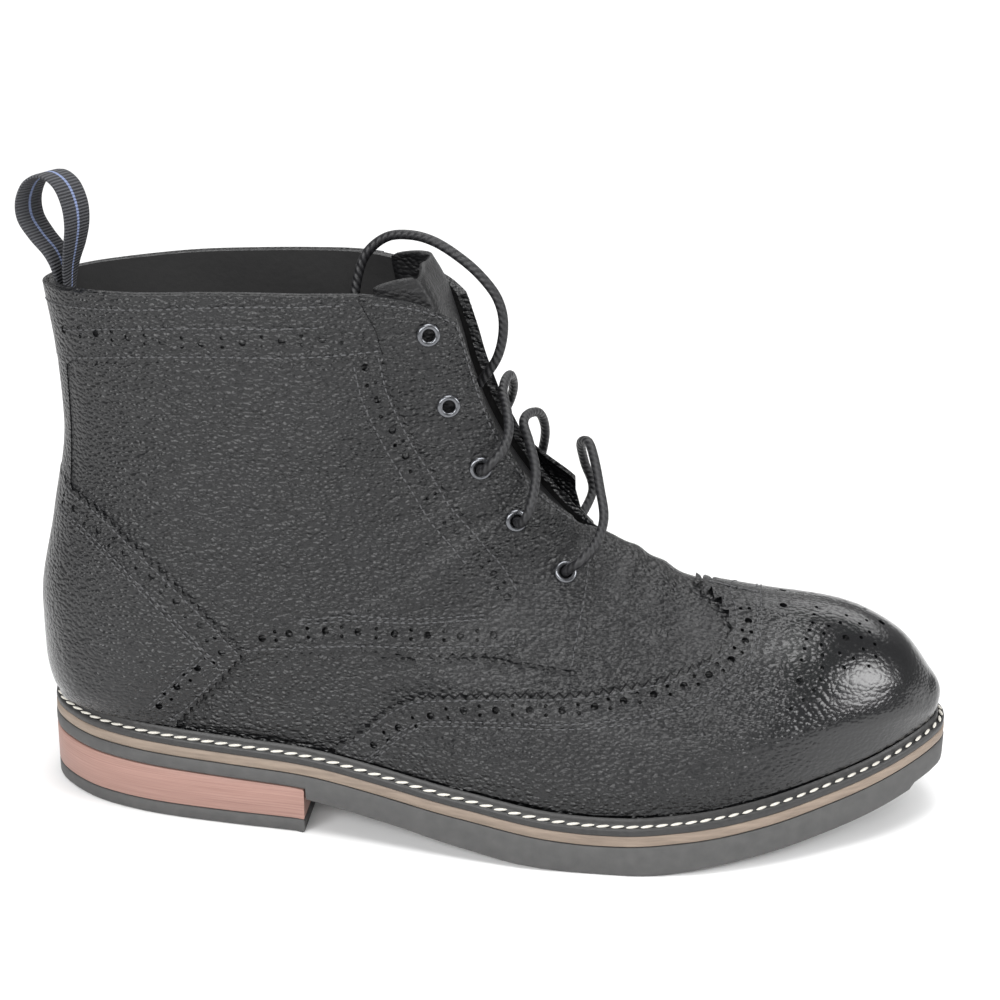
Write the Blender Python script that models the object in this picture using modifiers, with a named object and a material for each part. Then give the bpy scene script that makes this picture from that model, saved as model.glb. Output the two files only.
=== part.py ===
"""Lace-up wingtip ankle boot for the right foot, standing on its sole.

Design frame while building: x runs from the back of the sole to the toe, y from the
lateral side (-) to the medial side (+), z up from the ground. The last step moves
everything so that the origin lies under the middle of the bounding box.
"""

from collections import namedtuple

import bmesh
import bpy
import numpy as np
from mathutils import Matrix, Vector

# driving sizes, metres
SOLE_LENGTH = 0.312
BALL_WIDTH = 0.110
BOOT_HEIGHT = 0.186
HEEL_LENGTH = 0.0970
LIFT_THICKNESS = 0.0050
OUTSOLE_AT_HEEL = 0.0050
MIDSOLE_THICKNESS = 0.0040
WELT_INSET = 0.0046
FEATHER_RISE = 0.0100
WALL = 0.0020
LEATHER = 0.0012
GAP = 0.0003
INSOLE_THICKNESS = 0.0025
INSOLE_INSET = 0.0088
HEEL_FULL = 0.145
COLLAR_BOW = 0.0090
TONGUE_DEPTH = 0.0030
TONGUE_THICKNESS = 0.0016
TOE_STEP_AT = 0.962
TOE_STEP = 0.0015
EYELET_BORE = 0.00205
EYELET_BARREL = 0.00245
EYELET_FLANGE = 0.0035
EYELET_HOLE = 0.0028
LACE_RADIUS = 0.0016
LACE_SEAT = 0.0021
LACE_STRAIGHT = 0.0068
WEBBING_WIDTH = 0.0120
WEBBING_THICKNESS = 0.0013
FLARE = 0.0060
FLARE_FROM = 0.68  # share of the way round the section where the flare starts
FLARE_SPAN = [0.36, 0.43, 0.54, 0.70]  # shares of the way along the upper: start, full, full, end

OUTLINE = [  # x of SOLE_LENGTH, lateral and medial y of BALL_WIDTH
    (0.0000, -0.0136, 0.0136),
    (0.0064, -0.0818, 0.0818),
    (0.0288, -0.1727, 0.1682),
    (0.0769, -0.2682, 0.2591),
    (0.1442, -0.3273, 0.3182),
    (0.2244, -0.3591, 0.3364),
    (0.3045, -0.3818, 0.3227),
    (0.3846, -0.4227, 0.3136),
    (0.4808, -0.4800, 0.3455),
    (0.5769, -0.5182, 0.4136),
    (0.6571, -0.5218, 0.4691),
    (0.7212, -0.4964, 0.4873),
    (0.8013, -0.4173, 0.4618),
    (0.8814, -0.2945, 0.3909),
    (0.9359, -0.1927, 0.3091),
    (0.9712, -0.1027, 0.2291),
    (0.9888, -0.0418, 0.1691),
    (0.9978, 0.0091, 0.1164),
    (1.0000, 0.0455, 0.0818),
]
SEAT = [  # x of SOLE_LENGTH, underside of the midsole of BOOT_HEIGHT
    (0.0000, 0.1317),
    (0.2885, 0.1183),
    (0.4808, 0.0801),
    (0.6250, 0.0565),
    (0.7532, 0.0688),
    (0.8814, 0.1022),
    (1.0000, 0.1532),
]
UNDERSIDE = [  # x of SOLE_LENGTH, bottom of the outsole of BOOT_HEIGHT
    (0.3109, 0.0677),
    (0.4006, 0.0462),
    (0.4808, 0.0226),
    (0.5513, 0.0054),
    (0.6090, 0.0000),
    (0.6795, 0.0000),
    (0.7532, 0.0124),
    (0.8814, 0.0457),
    (1.0000, 0.0968),
]
Section = namedtuple(
    "Section", "name bx bz tx tz ridge edge bow l10 l35 l65 l90 m10 m35 m65 m90"
)
SECTIONS = [  # b: lower or back end, t: ridge or throat end, ridge and edge of BALL_WIDTH
    Section("toe_tip", 0.9846, 0.1909, 0.9853, 0.1935, 0.0455, 0.0000, 0,
            1, 1, 0.8, 0.45, 1, 1, 0.8, 0.45),
    Section("toe_front", 0.9808, 0.1898, 0.9872, 0.2339, 0.0455, 0.0000, 0,
            1.04, 1.03, 0.82, 0.46, 1.04, 1.03, 0.82, 0.46),
    Section("toe_round", 0.9647, 0.1828, 0.9731, 0.2769, 0.0455, 0.0000, 0,
            1.03, 1.03, 0.82, 0.46, 1.03, 1.03, 0.82, 0.46),
    Section("toe_cap", 0.9263, 0.1667, 0.9423, 0.3387, 0.0455, 0.0000, 0,
            1.02, 1.02, 0.82, 0.46, 1.02, 1.02, 0.82, 0.46),
    Section("toe_box", 0.8590, 0.1419, 0.8766, 0.3898, 0.0409, 0.0000, 0,
            1.02, 1, 0.8, 0.44, 1.02, 1.01, 0.8, 0.44),
    Section("flex", 0.7788, 0.1204, 0.7901, 0.4086, 0.0364, 0.0000, 0,
            1.01, 0.97, 0.72, 0.37, 1.01, 0.98, 0.74, 0.39),
    Section("ball", 0.7019, 0.1108, 0.7212, 0.4333, 0.0318, 0.0000, 0,
            1.01, 0.93, 0.65, 0.31, 1.02, 0.94, 0.66, 0.32),
    Section("tread", 0.6090, 0.1097, 0.6571, 0.4925, 0.0273, 0.0000, 0,
            1.01, 0.91, 0.6, 0.28, 1.02, 0.93, 0.61, 0.28),
    Section("instep", 0.4968, 0.1247, 0.6138, 0.5301, 0.0182, 0.0000, 0,
            1.01, 0.92, 0.62, 0.29, 1.03, 0.99, 0.66, 0.29),
    Section("throat", 0.3782, 0.1516, 0.5913, 0.5538, 0.0091, 0.0455, 0,
            1.01, 0.98, 0.7, 0.36, 1.05, 1.1, 0.8, 0.38),
    Section("waist", 0.2628, 0.1715, 0.5657, 0.5914, 0.0000, 0.0818, 0,
            1.05, 1.04, 0.83, 0.49, 1.07, 1.09, 0.86, 0.51),
    Section("heel_base", 0.1346, 0.1817, 0.5401, 0.6387, 0.0000, 0.1045, 0,
            1.07, 1.14, 0.98, 0.64, 1.07, 1.14, 1, 0.65),
    Section("heel_turn", 0.0449, 0.1860, 0.5208, 0.6828, 0.0000, 0.1182, 0,
            1, 1.14, 0.99, 0.66, 1, 1.14, 1.02, 0.67),
    Section("seat_back", 0.0147, 0.1871, 0.5096, 0.7161, 0.0000, 0.1227, 0,
            0.92, 1.12, 0.99, 0.66, 0.92, 1.12, 1.02, 0.68),
    Section("counter", 0.0019, 0.2527, 0.4978, 0.7527, 0.0000, 0.1273, 0,
            0.84, 1.08, 0.99, 0.66, 0.84, 1.08, 1.02, 0.68),
    Section("bulge", 0.0006, 0.3548, 0.4881, 0.7925, 0.0000, 0.1273, 0,
            0.76, 1.02, 0.97, 0.67, 0.77, 1.03, 1, 0.69),
    Section("ankle", 0.0192, 0.5269, 0.4785, 0.8355, 0.0000, 0.1273, 0.05,
            0.66, 0.95, 0.95, 0.67, 0.67, 0.97, 0.98, 0.69),
    Section("shaft", 0.0362, 0.7097, 0.4708, 0.8796, 0.0000, 0.1318, 0.3,
            0.59, 0.9, 0.93, 0.68, 0.6, 0.92, 0.96, 0.7),
    Section("band", 0.0330, 0.8387, 0.4647, 0.9113, 0.0000, 0.1318, 0.65,
            0.58, 0.87, 0.9, 0.68, 0.59, 0.89, 0.93, 0.7),
    Section("collar", 0.0231, 0.9677, 0.4583, 0.9419, 0.0000, 0.1318, 1,
            0.58, 0.86, 0.89, 0.67, 0.6, 0.88, 0.92, 0.69),
]
# side-view outlines of the panels: x of SOLE_LENGTH, z of BOOT_HEIGHT
WING = [
    (0.3429, 0.1645), (0.3490, 0.1823), (0.3712, 0.2086), (0.3926, 0.2452), (0.4141, 0.2710),
    (0.4410, 0.2882), (0.5208, 0.3022), (0.5808, 0.3081), (0.6324, 0.3140), (0.6795, 0.3247),
    (0.7112, 0.3376), (0.7349, 0.3505), (0.7532, 0.3688), (0.7590, 0.3882), (0.7551, 0.4065),
    (0.7417, 0.4258), (0.7163, 0.4489), (0.6923, 0.5376), (1.0577, 0.5376), (1.0577, 0.2086),
    (1.0000, 0.2075), (0.9615, 0.1887), (0.8814, 0.1565), (0.7532, 0.1231), (0.6250, 0.1108),
    (0.4808, 0.1355), (0.4006, 0.1527),
]
COUNTER = [
    (-0.0481, 0.6263), (0.0128, 0.6210), (0.0449, 0.6065), (0.0859, 0.5774), (0.1330, 0.5215),
    (0.1878, 0.4398), (0.2449, 0.3452), (0.2234, 0.2978), (0.2000, 0.2527), (0.1763, 0.2075),
    (0.1609, 0.1801), (-0.0481, 0.1871),
]
BAND = [
    (-0.0481, 0.8253), (0.0513, 0.8360), (0.1282, 0.8602), (0.2051, 0.8715), (0.2692, 0.8753),
    (0.3301, 0.8817), (0.3907, 0.8914), (0.3840, 0.9371), (0.3673, 0.9892), (0.3628, 1.0753),
    (-0.0481, 1.0753),
]
BACKSTAY = [
    (-0.0481, 0.6296), (0.0128, 0.6242), (0.0468, 0.6086), (0.0487, 0.8328), (-0.0481, 0.8220),
]
QUARTER = [
    (0.0487, 0.6075), (0.0872, 0.5796), (0.1343, 0.5237), (0.1891, 0.4419), (0.2478, 0.3419),
    (0.3061, 0.3505), (0.3705, 0.3613), (0.4340, 0.3597), (0.4971, 0.3640), (0.5321, 0.3645),
    (0.5349, 0.4634), (0.5192, 0.5054), (0.5006, 0.5452), (0.4801, 0.5849), (0.4615, 0.6215),
    (0.4449, 0.6694), (0.4272, 0.7194), (0.4135, 0.7661), (0.3990, 0.8253), (0.3907, 0.8882),
    (0.3301, 0.8785), (0.2692, 0.8720), (0.2051, 0.8683), (0.1282, 0.8570), (0.0506, 0.8328),
]
FACING = [
    (0.5337, 0.3618), (0.6010, 0.3435), (0.6058, 0.4032), (0.6099, 0.4516), (0.6109, 0.4892),
    (0.6038, 0.5247), (0.5897, 0.5457), (0.5833, 0.5806), (0.5833, 0.6989), (0.5288, 1.0484),
    (0.3647, 1.0753), (0.3692, 0.9903), (0.3859, 0.9376), (0.3926, 0.8903), (0.4006, 0.8269),
    (0.4151, 0.7677), (0.4288, 0.7210), (0.4465, 0.6710), (0.4631, 0.6237), (0.4814, 0.5871),
    (0.5019, 0.5473), (0.5208, 0.5075), (0.5365, 0.4645),
]
# the welt's profile: inset from the sole's edge, height above the midsole, metres
WELT_PROFILE = [
    (0.0003, 0.0002), (0.0003, 0.0022), (0.0008, 0.0027), (0.0023, 0.0027),
    (0.0026, 0.0047), (0.0034, 0.0053), (0.0036, 0.0002),
]
# an eyelet's profile: radius, height above the upper's face, metres
EYELET_PROFILE = [
    (EYELET_BORE, -0.0018), (EYELET_BARREL, -0.0018), (EYELET_BARREL, 0.0019),
    (EYELET_FLANGE, 0.0019), (EYELET_BORE, 0.0026),
]
EYELETS = [  # place on the upper's grid: u along the boot, tau around the section
    (0.953, 0.830), (0.8195, 0.846), (0.712, 0.858), (0.604, 0.828), (0.460, 0.752),
]


def slopes(xs, ys):
    """Monotone slopes for a smooth curve through a table's column."""
    h = np.diff(xs)
    d = np.diff(ys) / h
    m = np.zeros(len(xs))
    m[0], m[-1] = d[0], d[-1]
    for i in range(1, len(xs) - 1):
        if d[i - 1] * d[i] > 0:
            w1 = 2 * h[i] + h[i - 1]
            w2 = h[i] + 2 * h[i - 1]
            m[i] = (w1 + w2) / (w1 / d[i - 1] + w2 / d[i])
    return m


def smooth(x, xs, ys):
    """Smooth monotone interpolation of a table's column."""
    xs = np.asarray(xs, float)
    ys = np.asarray(ys, float)
    x = np.clip(x, xs[0], xs[-1])
    m = slopes(xs, ys)
    i = np.clip(np.searchsorted(xs, x) - 1, 0, len(xs) - 2)
    h = xs[i + 1] - xs[i]
    s = (x - xs[i]) / h
    return (
        ys[i] * (1 + 2 * s) * (1 - s) ** 2
        + h * m[i] * s * (1 - s) ** 2
        + ys[i + 1] * s * s * (3 - 2 * s)
        + h * m[i + 1] * s * s * (s - 1)
    )


def column(table, index):
    """One column of a table as an array."""
    return np.array([row[index] for row in table], float)


def sole_y(x, side):
    """Edge of the sole's outline at x; side is -1 lateral, +1 medial."""
    ys = smooth(np.asarray(x) / SOLE_LENGTH, column(OUTLINE, 0), column(OUTLINE, 1 if side < 0 else 2))
    return ys * BALL_WIDTH


def seat_z(x):
    """Underside of the midsole at x."""
    return smooth(np.asarray(x) / SOLE_LENGTH, column(SEAT, 0), column(SEAT, 1)) * BOOT_HEIGHT


def under_z(x):
    """Underside of the outsole at x."""
    return smooth(np.asarray(x) / SOLE_LENGTH, column(UNDERSIDE, 0), column(UNDERSIDE, 1)) * BOOT_HEIGHT


def cosine(a, b, n):
    """n + 1 values from a to b, dense at both ends."""
    return a + (b - a) * 0.5 * (1 - np.cos(np.linspace(0, np.pi, n + 1)))


def outline_ring(n):
    """The sole's outline as a closed ring of n points, evenly spaced, starting at the heel."""
    xs = cosine(0, SOLE_LENGTH, 200)
    ring = np.concatenate([
        np.stack([xs, sole_y(xs, -1)], 1),
        np.stack([xs[::-1], sole_y(xs[::-1], 1)], 1),
    ])
    step = np.r_[0, np.cumsum(np.hypot(*np.diff(np.r_[ring, ring[:1]], axis=0).T))]
    at = np.linspace(0, step[-1], n, endpoint=False)
    closed = np.r_[ring, ring[:1]]
    return np.stack([np.interp(at, step, closed[:, 0]), np.interp(at, step, closed[:, 1])], 1)


def inset_ring(n, inset):
    """The outline's ring moved inwards by inset."""
    ring = outline_ring(n)
    along = np.roll(ring, -1, 0) - np.roll(ring, 1, 0)
    along /= np.hypot(*along.T)[:, None]
    return ring + inset * np.stack([-along[:, 1], along[:, 0]], 1)


FEATHER = inset_ring(240, WELT_INSET)


def feather_y(x, side):
    """Edge of the upper where it meets the welt, at x."""
    half = FEATHER[FEATHER[:, 1] * side > 0]
    lo, hi = FEATHER[:, 0].min(), FEATHER[:, 0].max()
    half = half[np.argsort(half[:, 0])]
    xs = np.r_[lo, half[:, 0], hi]
    ends = FEATHER[FEATHER[:, 0].argmin(), 1], FEATHER[FEATHER[:, 0].argmax(), 1]
    ys = np.r_[ends[0], half[:, 1], ends[1]]
    return np.interp(x, xs, ys)


LEVELS = np.array([0, 0.10, 0.35, 0.65, 0.90, 1.0])
KNOTS = np.arccos(1 - 2 * LEVELS) / np.pi
BOW = [(0, 0), (0.2, 0.33), (0.4, 0.66), (0.6, 0.88), (0.78, 1.0), (0.89, 0.80), (0.96, 0.42), (1, 0)]


def station_positions():
    """How far along the boot each section lies, 0 at the toe and 1 at the collar."""
    b = np.array([(s.bx * SOLE_LENGTH, s.bz * BOOT_HEIGHT) for s in SECTIONS])
    t = np.array([(s.tx * SOLE_LENGTH, s.tz * BOOT_HEIGHT) for s in SECTIONS])
    step = (np.hypot(*np.diff(b, axis=0).T) + np.hypot(*np.diff(t, axis=0).T)) / 2
    far = np.r_[0, np.cumsum(step)]
    return far / far[-1]


STATIONS = station_positions()
BY_NAME = {s.name: u for s, u in zip(SECTIONS, STATIONS)}


def along(u, field):
    """A column of SECTIONS at u."""
    return smooth(u, STATIONS, np.array([getattr(s, field) for s in SECTIONS], float))


def upper_point(u, tau, side):
    """A point of the upper's outer face: u from toe to collar, tau from below or back to ridge."""
    u, tau = np.broadcast_arrays(np.asarray(u, float), np.asarray(tau, float))
    share = 0.5 * (1 - np.cos(np.pi * tau))
    bx, tx = along(u, "bx") * SOLE_LENGTH, along(u, "tx") * SOLE_LENGTH
    bz, tz = along(u, "bz") * BOOT_HEIGHT, along(u, "tz") * BOOT_HEIGHT
    bz = np.where(u < BY_NAME["seat_back"], seat_z(bx) + FEATHER_RISE, bz)
    bow = smooth(share, column(BOW, 0), column(BOW, 1)) * along(u, "bow") * COLLAR_BOW
    x = bx + (tx - bx) * share
    z = bz + (tz - bz) * share + bow
    ridge = along(u, "ridge") * BALL_WIDTH
    wide = np.abs(feather_y(np.maximum(bx, HEEL_FULL * SOLE_LENGTH), side) - ridge)
    foot = np.abs(feather_y(bx, side) - ridge) / wide
    foot = np.where(u >= BY_NAME["seat_back"], 0, foot)
    key = "l" if side < 0 else "m"
    rows = [foot] + [along(u, key + k) for k in ("10", "35", "65", "90")]
    rows.append(along(u, "edge") * BALL_WIDTH / wide)
    rows = np.stack(rows)
    y = np.zeros(u.shape)
    flat = y.reshape(-1)
    for i, (t, cols) in enumerate(zip(tau.reshape(-1), rows.reshape(6, -1).T)):
        flat[i] = smooth(np.array([t]), KNOTS, cols)[0]
    return np.stack([x, ridge + side * flat.reshape(u.shape) * wide, z], -1)


SPLITS = [1, 1, 1, 2, 2, 1, 1, 1, 1, 1, 1, 1, 1, 1, 1, 2, 2, 1, 1]
LEVEL_COUNT = 11


def station_grid():
    """The grid's stations: every section, with its span split as SPLITS says."""
    us = [0.0]
    for a, b, n in zip(STATIONS[:-1], STATIONS[1:], SPLITS):
        us += [a + (b - a) * k / n for k in range(1, n + 1)]
    return np.array(us)


UGRID = station_grid()
TGRID = np.linspace(0, 1, LEVEL_COUNT + 1)
THROAT_ROW = int(np.argmin(abs(UGRID - BY_NAME["instep"])))
SEAM_ROW = int(np.argmin(abs(UGRID - BY_NAME["seat_back"])))
SKIRT = -1


def grid_key(i, side, j):
    """Name of a grid vertex: both sides share the tip, the closed ridge and the back seam."""
    if i == 0:
        return (0, 0, SKIRT if j == SKIRT else 0)
    if (j == LEVEL_COUNT and i <= THROAT_ROW) or (j <= 0 and i >= SEAM_ROW):
        return (i, 0, j)
    return (i, side, j)


def grid_points():
    """Positions of the grid's vertices by key."""
    points = {}
    for side in (-1, 1):
        xyz = upper_point(UGRID[:, None], TGRID[None, :], side)
        for i in range(len(UGRID)):
            for j in range(LEVEL_COUNT + 1):
                points.setdefault(grid_key(i, side, j), xyz[i, j])
            if i <= SEAM_ROW:
                x, y, _ = points[grid_key(i, side, 0)]
                z = float(seat_z(x)) + MIDSOLE_THICKNESS + 2 * GAP
                points.setdefault(grid_key(i, side, SKIRT), np.array([x, y, z]))
    return points


def cell_faces(i, j, side):
    """The two triangles of a grid cell, facing outwards."""
    up = 0 if j == SKIRT else j + 1
    a, b = grid_key(i, side, j), grid_key(i + 1, side, j)
    c, d = grid_key(i + 1, side, up), grid_key(i, side, up)
    pair = [(a, d, c), (a, c, b)] if side < 0 else [(a, b, c), (a, c, d)]
    return [f for f in pair if len(set(f)) == 3]


def cells(first, last, low=0, high=LEVEL_COUNT, sides=(-1, 1)):
    """Triangles of the grid between two sections and two levels."""
    i0 = int(np.argmin(abs(UGRID - BY_NAME[first])))
    i1 = int(np.argmin(abs(UGRID - BY_NAME[last])))
    return [
        face
        for side in sides
        for i in range(i0, i1)
        for j in range(low, high)
        for face in cell_faces(i, j, side)
    ]


POINTS = grid_points()
SHELL = cells("toe_tip", "collar") + [
    face for side in (-1, 1) for i in range(SEAM_ROW) for face in cell_faces(i, SKIRT, side)
]


def grid_normals():
    """Vertex normals of the whole upper by key."""
    bm = bmesh.new()
    verts = {key: bm.verts.new(p) for key, p in POINTS.items()}
    for face in SHELL:
        bm.faces.new([verts[key] for key in face])
    bm.normal_update()
    normals = {key: np.array(v.normal) for key, v in verts.items()}
    bm.free()
    return normals


NORMALS = grid_normals()


def clear_scene():
    for obj in list(bpy.data.objects):
        bpy.data.objects.remove(obj, do_unlink=True)
    for group in list(bpy.data.collections):
        bpy.data.collections.remove(group)


clear_scene()
PARTS = bpy.data.collections.new("wingtip_boot")
CUTTERS = bpy.data.collections.new("cutters")
for made in (PARTS, CUTTERS):
    bpy.context.scene.collection.children.link(made)


def material(name, colour, rough, metal=0.0):
    mat = bpy.data.materials.new(name)
    mat.use_nodes = True
    shader = mat.node_tree.nodes["Principled BSDF"]
    shader.inputs["Base Color"].default_value = (*colour, 1)
    shader.inputs["Roughness"].default_value = rough
    shader.inputs["Metallic"].default_value = metal
    mat.diffuse_color = (*colour, 1)
    return mat


def add_mesh(name, verts, faces, colour=None, rough=0.5, metal=0.0, group=PARTS):
    """A mesh object; its material carries the part's name."""
    mesh = bpy.data.meshes.new(name)
    mesh.from_pydata([tuple(map(float, v)) for v in verts], [], faces)
    mesh.update()
    obj = bpy.data.objects.new(name, mesh)
    group.objects.link(obj)
    if colour:
        mesh.materials.append(material(name, colour, rough, metal))
    else:
        obj.display_type = "WIRE"
        obj.hide_render = True
    return obj


def add_grid(name, faces, lift, colour, rough):
    """A patch of the upper's grid, moved out along the normals by lift(key)."""
    keys = sorted({key for face in faces for key in face})
    order = {key: n for n, key in enumerate(keys)}
    verts = [POINTS[key] + NORMALS[key] * lift(key) for key in keys]
    return add_mesh(name, verts, [[order[k] for k in face] for face in faces], colour, rough)


def solidify(obj, thickness, offset):
    mod = obj.modifiers.new("thickness", "SOLIDIFY")
    mod.thickness = thickness
    mod.offset = offset
    mod.use_rim = True
    return mod


def cut(obj, cutter, operation):
    mod = obj.modifiers.new(cutter.name, "BOOLEAN")
    mod.object = cutter
    mod.operation = operation
    mod.solver = "EXACT"


def prism(name, outline):
    """A side-view outline drawn through the whole boot."""
    n = len(outline)
    xz = [(x * SOLE_LENGTH, z * BOOT_HEIGHT) for x, z in outline]
    verts = [(x, side * BALL_WIDTH, z) for side in (-1, 1) for x, z in xz]
    faces = [list(range(n)), list(range(2 * n - 1, n - 1, -1))]
    faces += [[k, k + n, (k + 1) % n + n, (k + 1) % n] for k in range(n)]
    obj = add_mesh(name, verts, faces, group=CUTTERS)
    turn_out(obj)
    return obj


def turn_out(obj):
    """Makes a closed mesh's faces look outwards."""
    bm = bmesh.new()
    bm.from_mesh(obj.data)
    bmesh.ops.recalc_face_normals(bm, faces=bm.faces)
    if bm.calc_volume(signed=True) < 0:
        bmesh.ops.reverse_faces(bm, faces=bm.faces)
    bm.to_mesh(obj.data)
    bm.free()


def slab(name, xs, edge, bottom, top, colour, rough):
    """A layer of the sole: straight across, its edges and faces following x."""
    verts = []
    for x in xs:
        lateral, medial = edge(x, -1), edge(x, 1)
        verts += [(x, y, z(x)) for y, z in ((lateral, bottom), (medial, bottom), (medial, top), (lateral, top))]
    faces = [[3, 2, 1, 0], [4 * len(xs) - 4 + k for k in range(4)]]
    for i in range(len(xs) - 1):
        a = 4 * i
        faces += [[a + k, a + (k + 1) % 4, a + 4 + (k + 1) % 4, a + 4 + k] for k in range(4)]
    obj = add_mesh(name, verts, faces, colour, rough)
    turn_out(obj)
    return obj


def inset_y(inset):
    """Edge function of the outline moved inwards, and the x where it starts and ends."""
    ring = inset_ring(240, inset)
    lo, hi = ring[:, 0].min(), ring[:, 0].max()
    middle = ring[ring[:, 0].argmin(), 1], ring[ring[:, 0].argmax(), 1]

    def edge(x, side):
        half = ring[ring[:, 1] * side > 0]
        half = half[np.argsort(half[:, 0])]
        return float(np.interp(x, np.r_[lo, half[:, 0], hi], np.r_[middle[0], half[:, 1], middle[1]]))

    return edge, lo, hi


def loft(name, rings, colour, rough, metal=0.0, closed=False):
    """Joins equal rings of points; closed joins the last ring to the first."""
    n = len(rings[0])
    verts = [p for ring in rings for p in ring]
    faces = []
    count = len(rings)
    for i in range(count if closed else count - 1):
        a, b = i * n, ((i + 1) % count) * n
        faces += [[a + k, a + (k + 1) % n, b + (k + 1) % n, b + k] for k in range(n)]
    if not closed:
        faces += [list(range(n)), list(range((count - 1) * n, count * n))]
    obj = add_mesh(name, verts, faces, colour, rough, metal)
    turn_out(obj)
    return obj


# the sole, from the ground up
SPREAD = cosine(0, SOLE_LENGTH, 30)
STEP_X = TOE_STEP_AT * SOLE_LENGTH
END_TRIM = 0.0003


def outsole_bottom(x):
    if x < HEEL_LENGTH:
        return float(seat_z(x)) - OUTSOLE_AT_HEEL
    return float(under_z(x)) + (TOE_STEP if x > STEP_X else 0)


def outsole_stations():
    flat = [row[0] * SOLE_LENGTH for row in UNDERSIDE[4:6]]
    marks = [HEEL_LENGTH - 1e-4, HEEL_LENGTH + 1e-4, STEP_X, STEP_X + 3e-4] + flat
    free = [x for x in SPREAD if min(abs(x - m) for m in marks) > 0.002]
    return sorted(free + marks)


slab("outsole", outsole_stations(), lambda x, side: float(sole_y(x, side)), outsole_bottom,
     lambda x: float(seat_z(x)) - GAP / 2, (0.055, 0.055, 0.058), 0.7)
HEEL_X = [x for x in SPREAD if x < HEEL_LENGTH - 0.003] + [HEEL_LENGTH - 2 * GAP]
slab("heel_stack", HEEL_X, lambda x, side: float(sole_y(x, side)), lambda x: LIFT_THICKNESS + GAP / 2,
     lambda x: float(seat_z(x)) - OUTSOLE_AT_HEEL - GAP, (0.22, 0.10, 0.075), 0.5)
slab("heel_top_lift", HEEL_X, lambda x, side: float(sole_y(x, side)), lambda x: 0.0,
     lambda x: LIFT_THICKNESS - GAP / 2, (0.05, 0.05, 0.053), 0.75)
MID_EDGE, MID_LO, MID_HI = inset_y(0.0002)
slab("midsole", cosine(MID_LO + END_TRIM, MID_HI - END_TRIM, 28), MID_EDGE, lambda x: float(seat_z(x)) + GAP / 2,
     lambda x: float(seat_z(x)) + MIDSOLE_THICKNESS - GAP / 2, (0.30, 0.19, 0.12), 0.55)
IN_EDGE, IN_LO, IN_HI = inset_y(INSOLE_INSET)
slab("insole", cosine(IN_LO + END_TRIM, IN_HI - END_TRIM, 22), IN_EDGE, lambda x: float(seat_z(x)) + MIDSOLE_THICKNESS + GAP,
     lambda x: float(seat_z(x)) + MIDSOLE_THICKNESS + GAP + INSOLE_THICKNESS, (0.03, 0.03, 0.032), 0.8)

WELT_POINTS = 64
WELT_RINGS = [inset_ring(WELT_POINTS, inset) for inset, _ in WELT_PROFILE]
loft("welt", [
    [
        (*ring[k], float(seat_z(ring[k][0])) + MIDSOLE_THICKNESS + rise)
        for ring, (_, rise) in zip(WELT_RINGS, WELT_PROFILE)
    ]
    for k in range(WELT_POINTS)
], (0.03, 0.03, 0.032), 0.45, closed=True)

# the upper and the panels over it
BLACK = (0.022, 0.023, 0.026)
upper = add_grid("upper", SHELL, lambda key: 0.0, BLACK, 0.45)
solidify(upper, WALL, -1)


def flare(key):
    """How far the medial facing stands off at its lower front end."""
    i, side, j = key
    if side < 0 or j < 0:
        return 0.0
    near = np.clip((TGRID[j] - FLARE_FROM) / (1 - FLARE_FROM), 0, 1) ** 1.5
    return float(FLARE * near * smooth(UGRID[i], FLARE_SPAN, [0, 1, 1, 0]))


def panel(name, faces, outline, thickness, cutter_name, lift=None):
    """An overlay: a patch of the upper's grid cut to its side-view outline."""
    lift = lift or (lambda key: 0.0)
    obj = add_grid(name, faces, lambda key: GAP + lift(key), BLACK, 0.4)
    solidify(obj, thickness, 1)
    cutter = bpy.data.objects.get(cutter_name) or prism(cutter_name, outline)
    cut(obj, cutter, "INTERSECT")
    return obj


panel("wing_cap", cells("toe_tip", "waist"), WING, LEATHER, "wing_outline")
panel("heel_counter", cells("waist", "shaft"), COUNTER, LEATHER * 1.4, "counter_outline")
panel("collar_band", cells("ankle", "collar"), BAND, LEATHER * 1.4, "band_outline")
panel("backstay", cells("bulge", "collar", 0, 5), BACKSTAY, LEATHER * 1.4, "backstay_outline")
SIDES = {"lateral": -1, "medial": 1}
facings = {}
slot = add_mesh("throat_slot", [
    (x * SOLE_LENGTH, y * BALL_WIDTH, z * BOOT_HEIGHT)
    for x in (0.5833, 0.6282) for y in (-0.0127, 0.0418) for z in (0.4570, 0.6720)
], [[0, 1, 3, 2], [4, 6, 7, 5], [0, 4, 5, 1], [2, 3, 7, 6], [0, 2, 6, 4], [1, 5, 7, 3]], group=CUTTERS)
turn_out(slot)
for word, side in SIDES.items():
    panel("quarter_" + word, cells("instep", "collar", sides=(side,)), QUARTER, LEATHER, "quarter_outline")
    facings[word] = panel("facing_" + word, cells("tread", "collar", 4, sides=(side,)), FACING, LEATHER,
                          "facing_outline", flare if side > 0 else None)
    cut(facings[word], slot, "DIFFERENCE")


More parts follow.
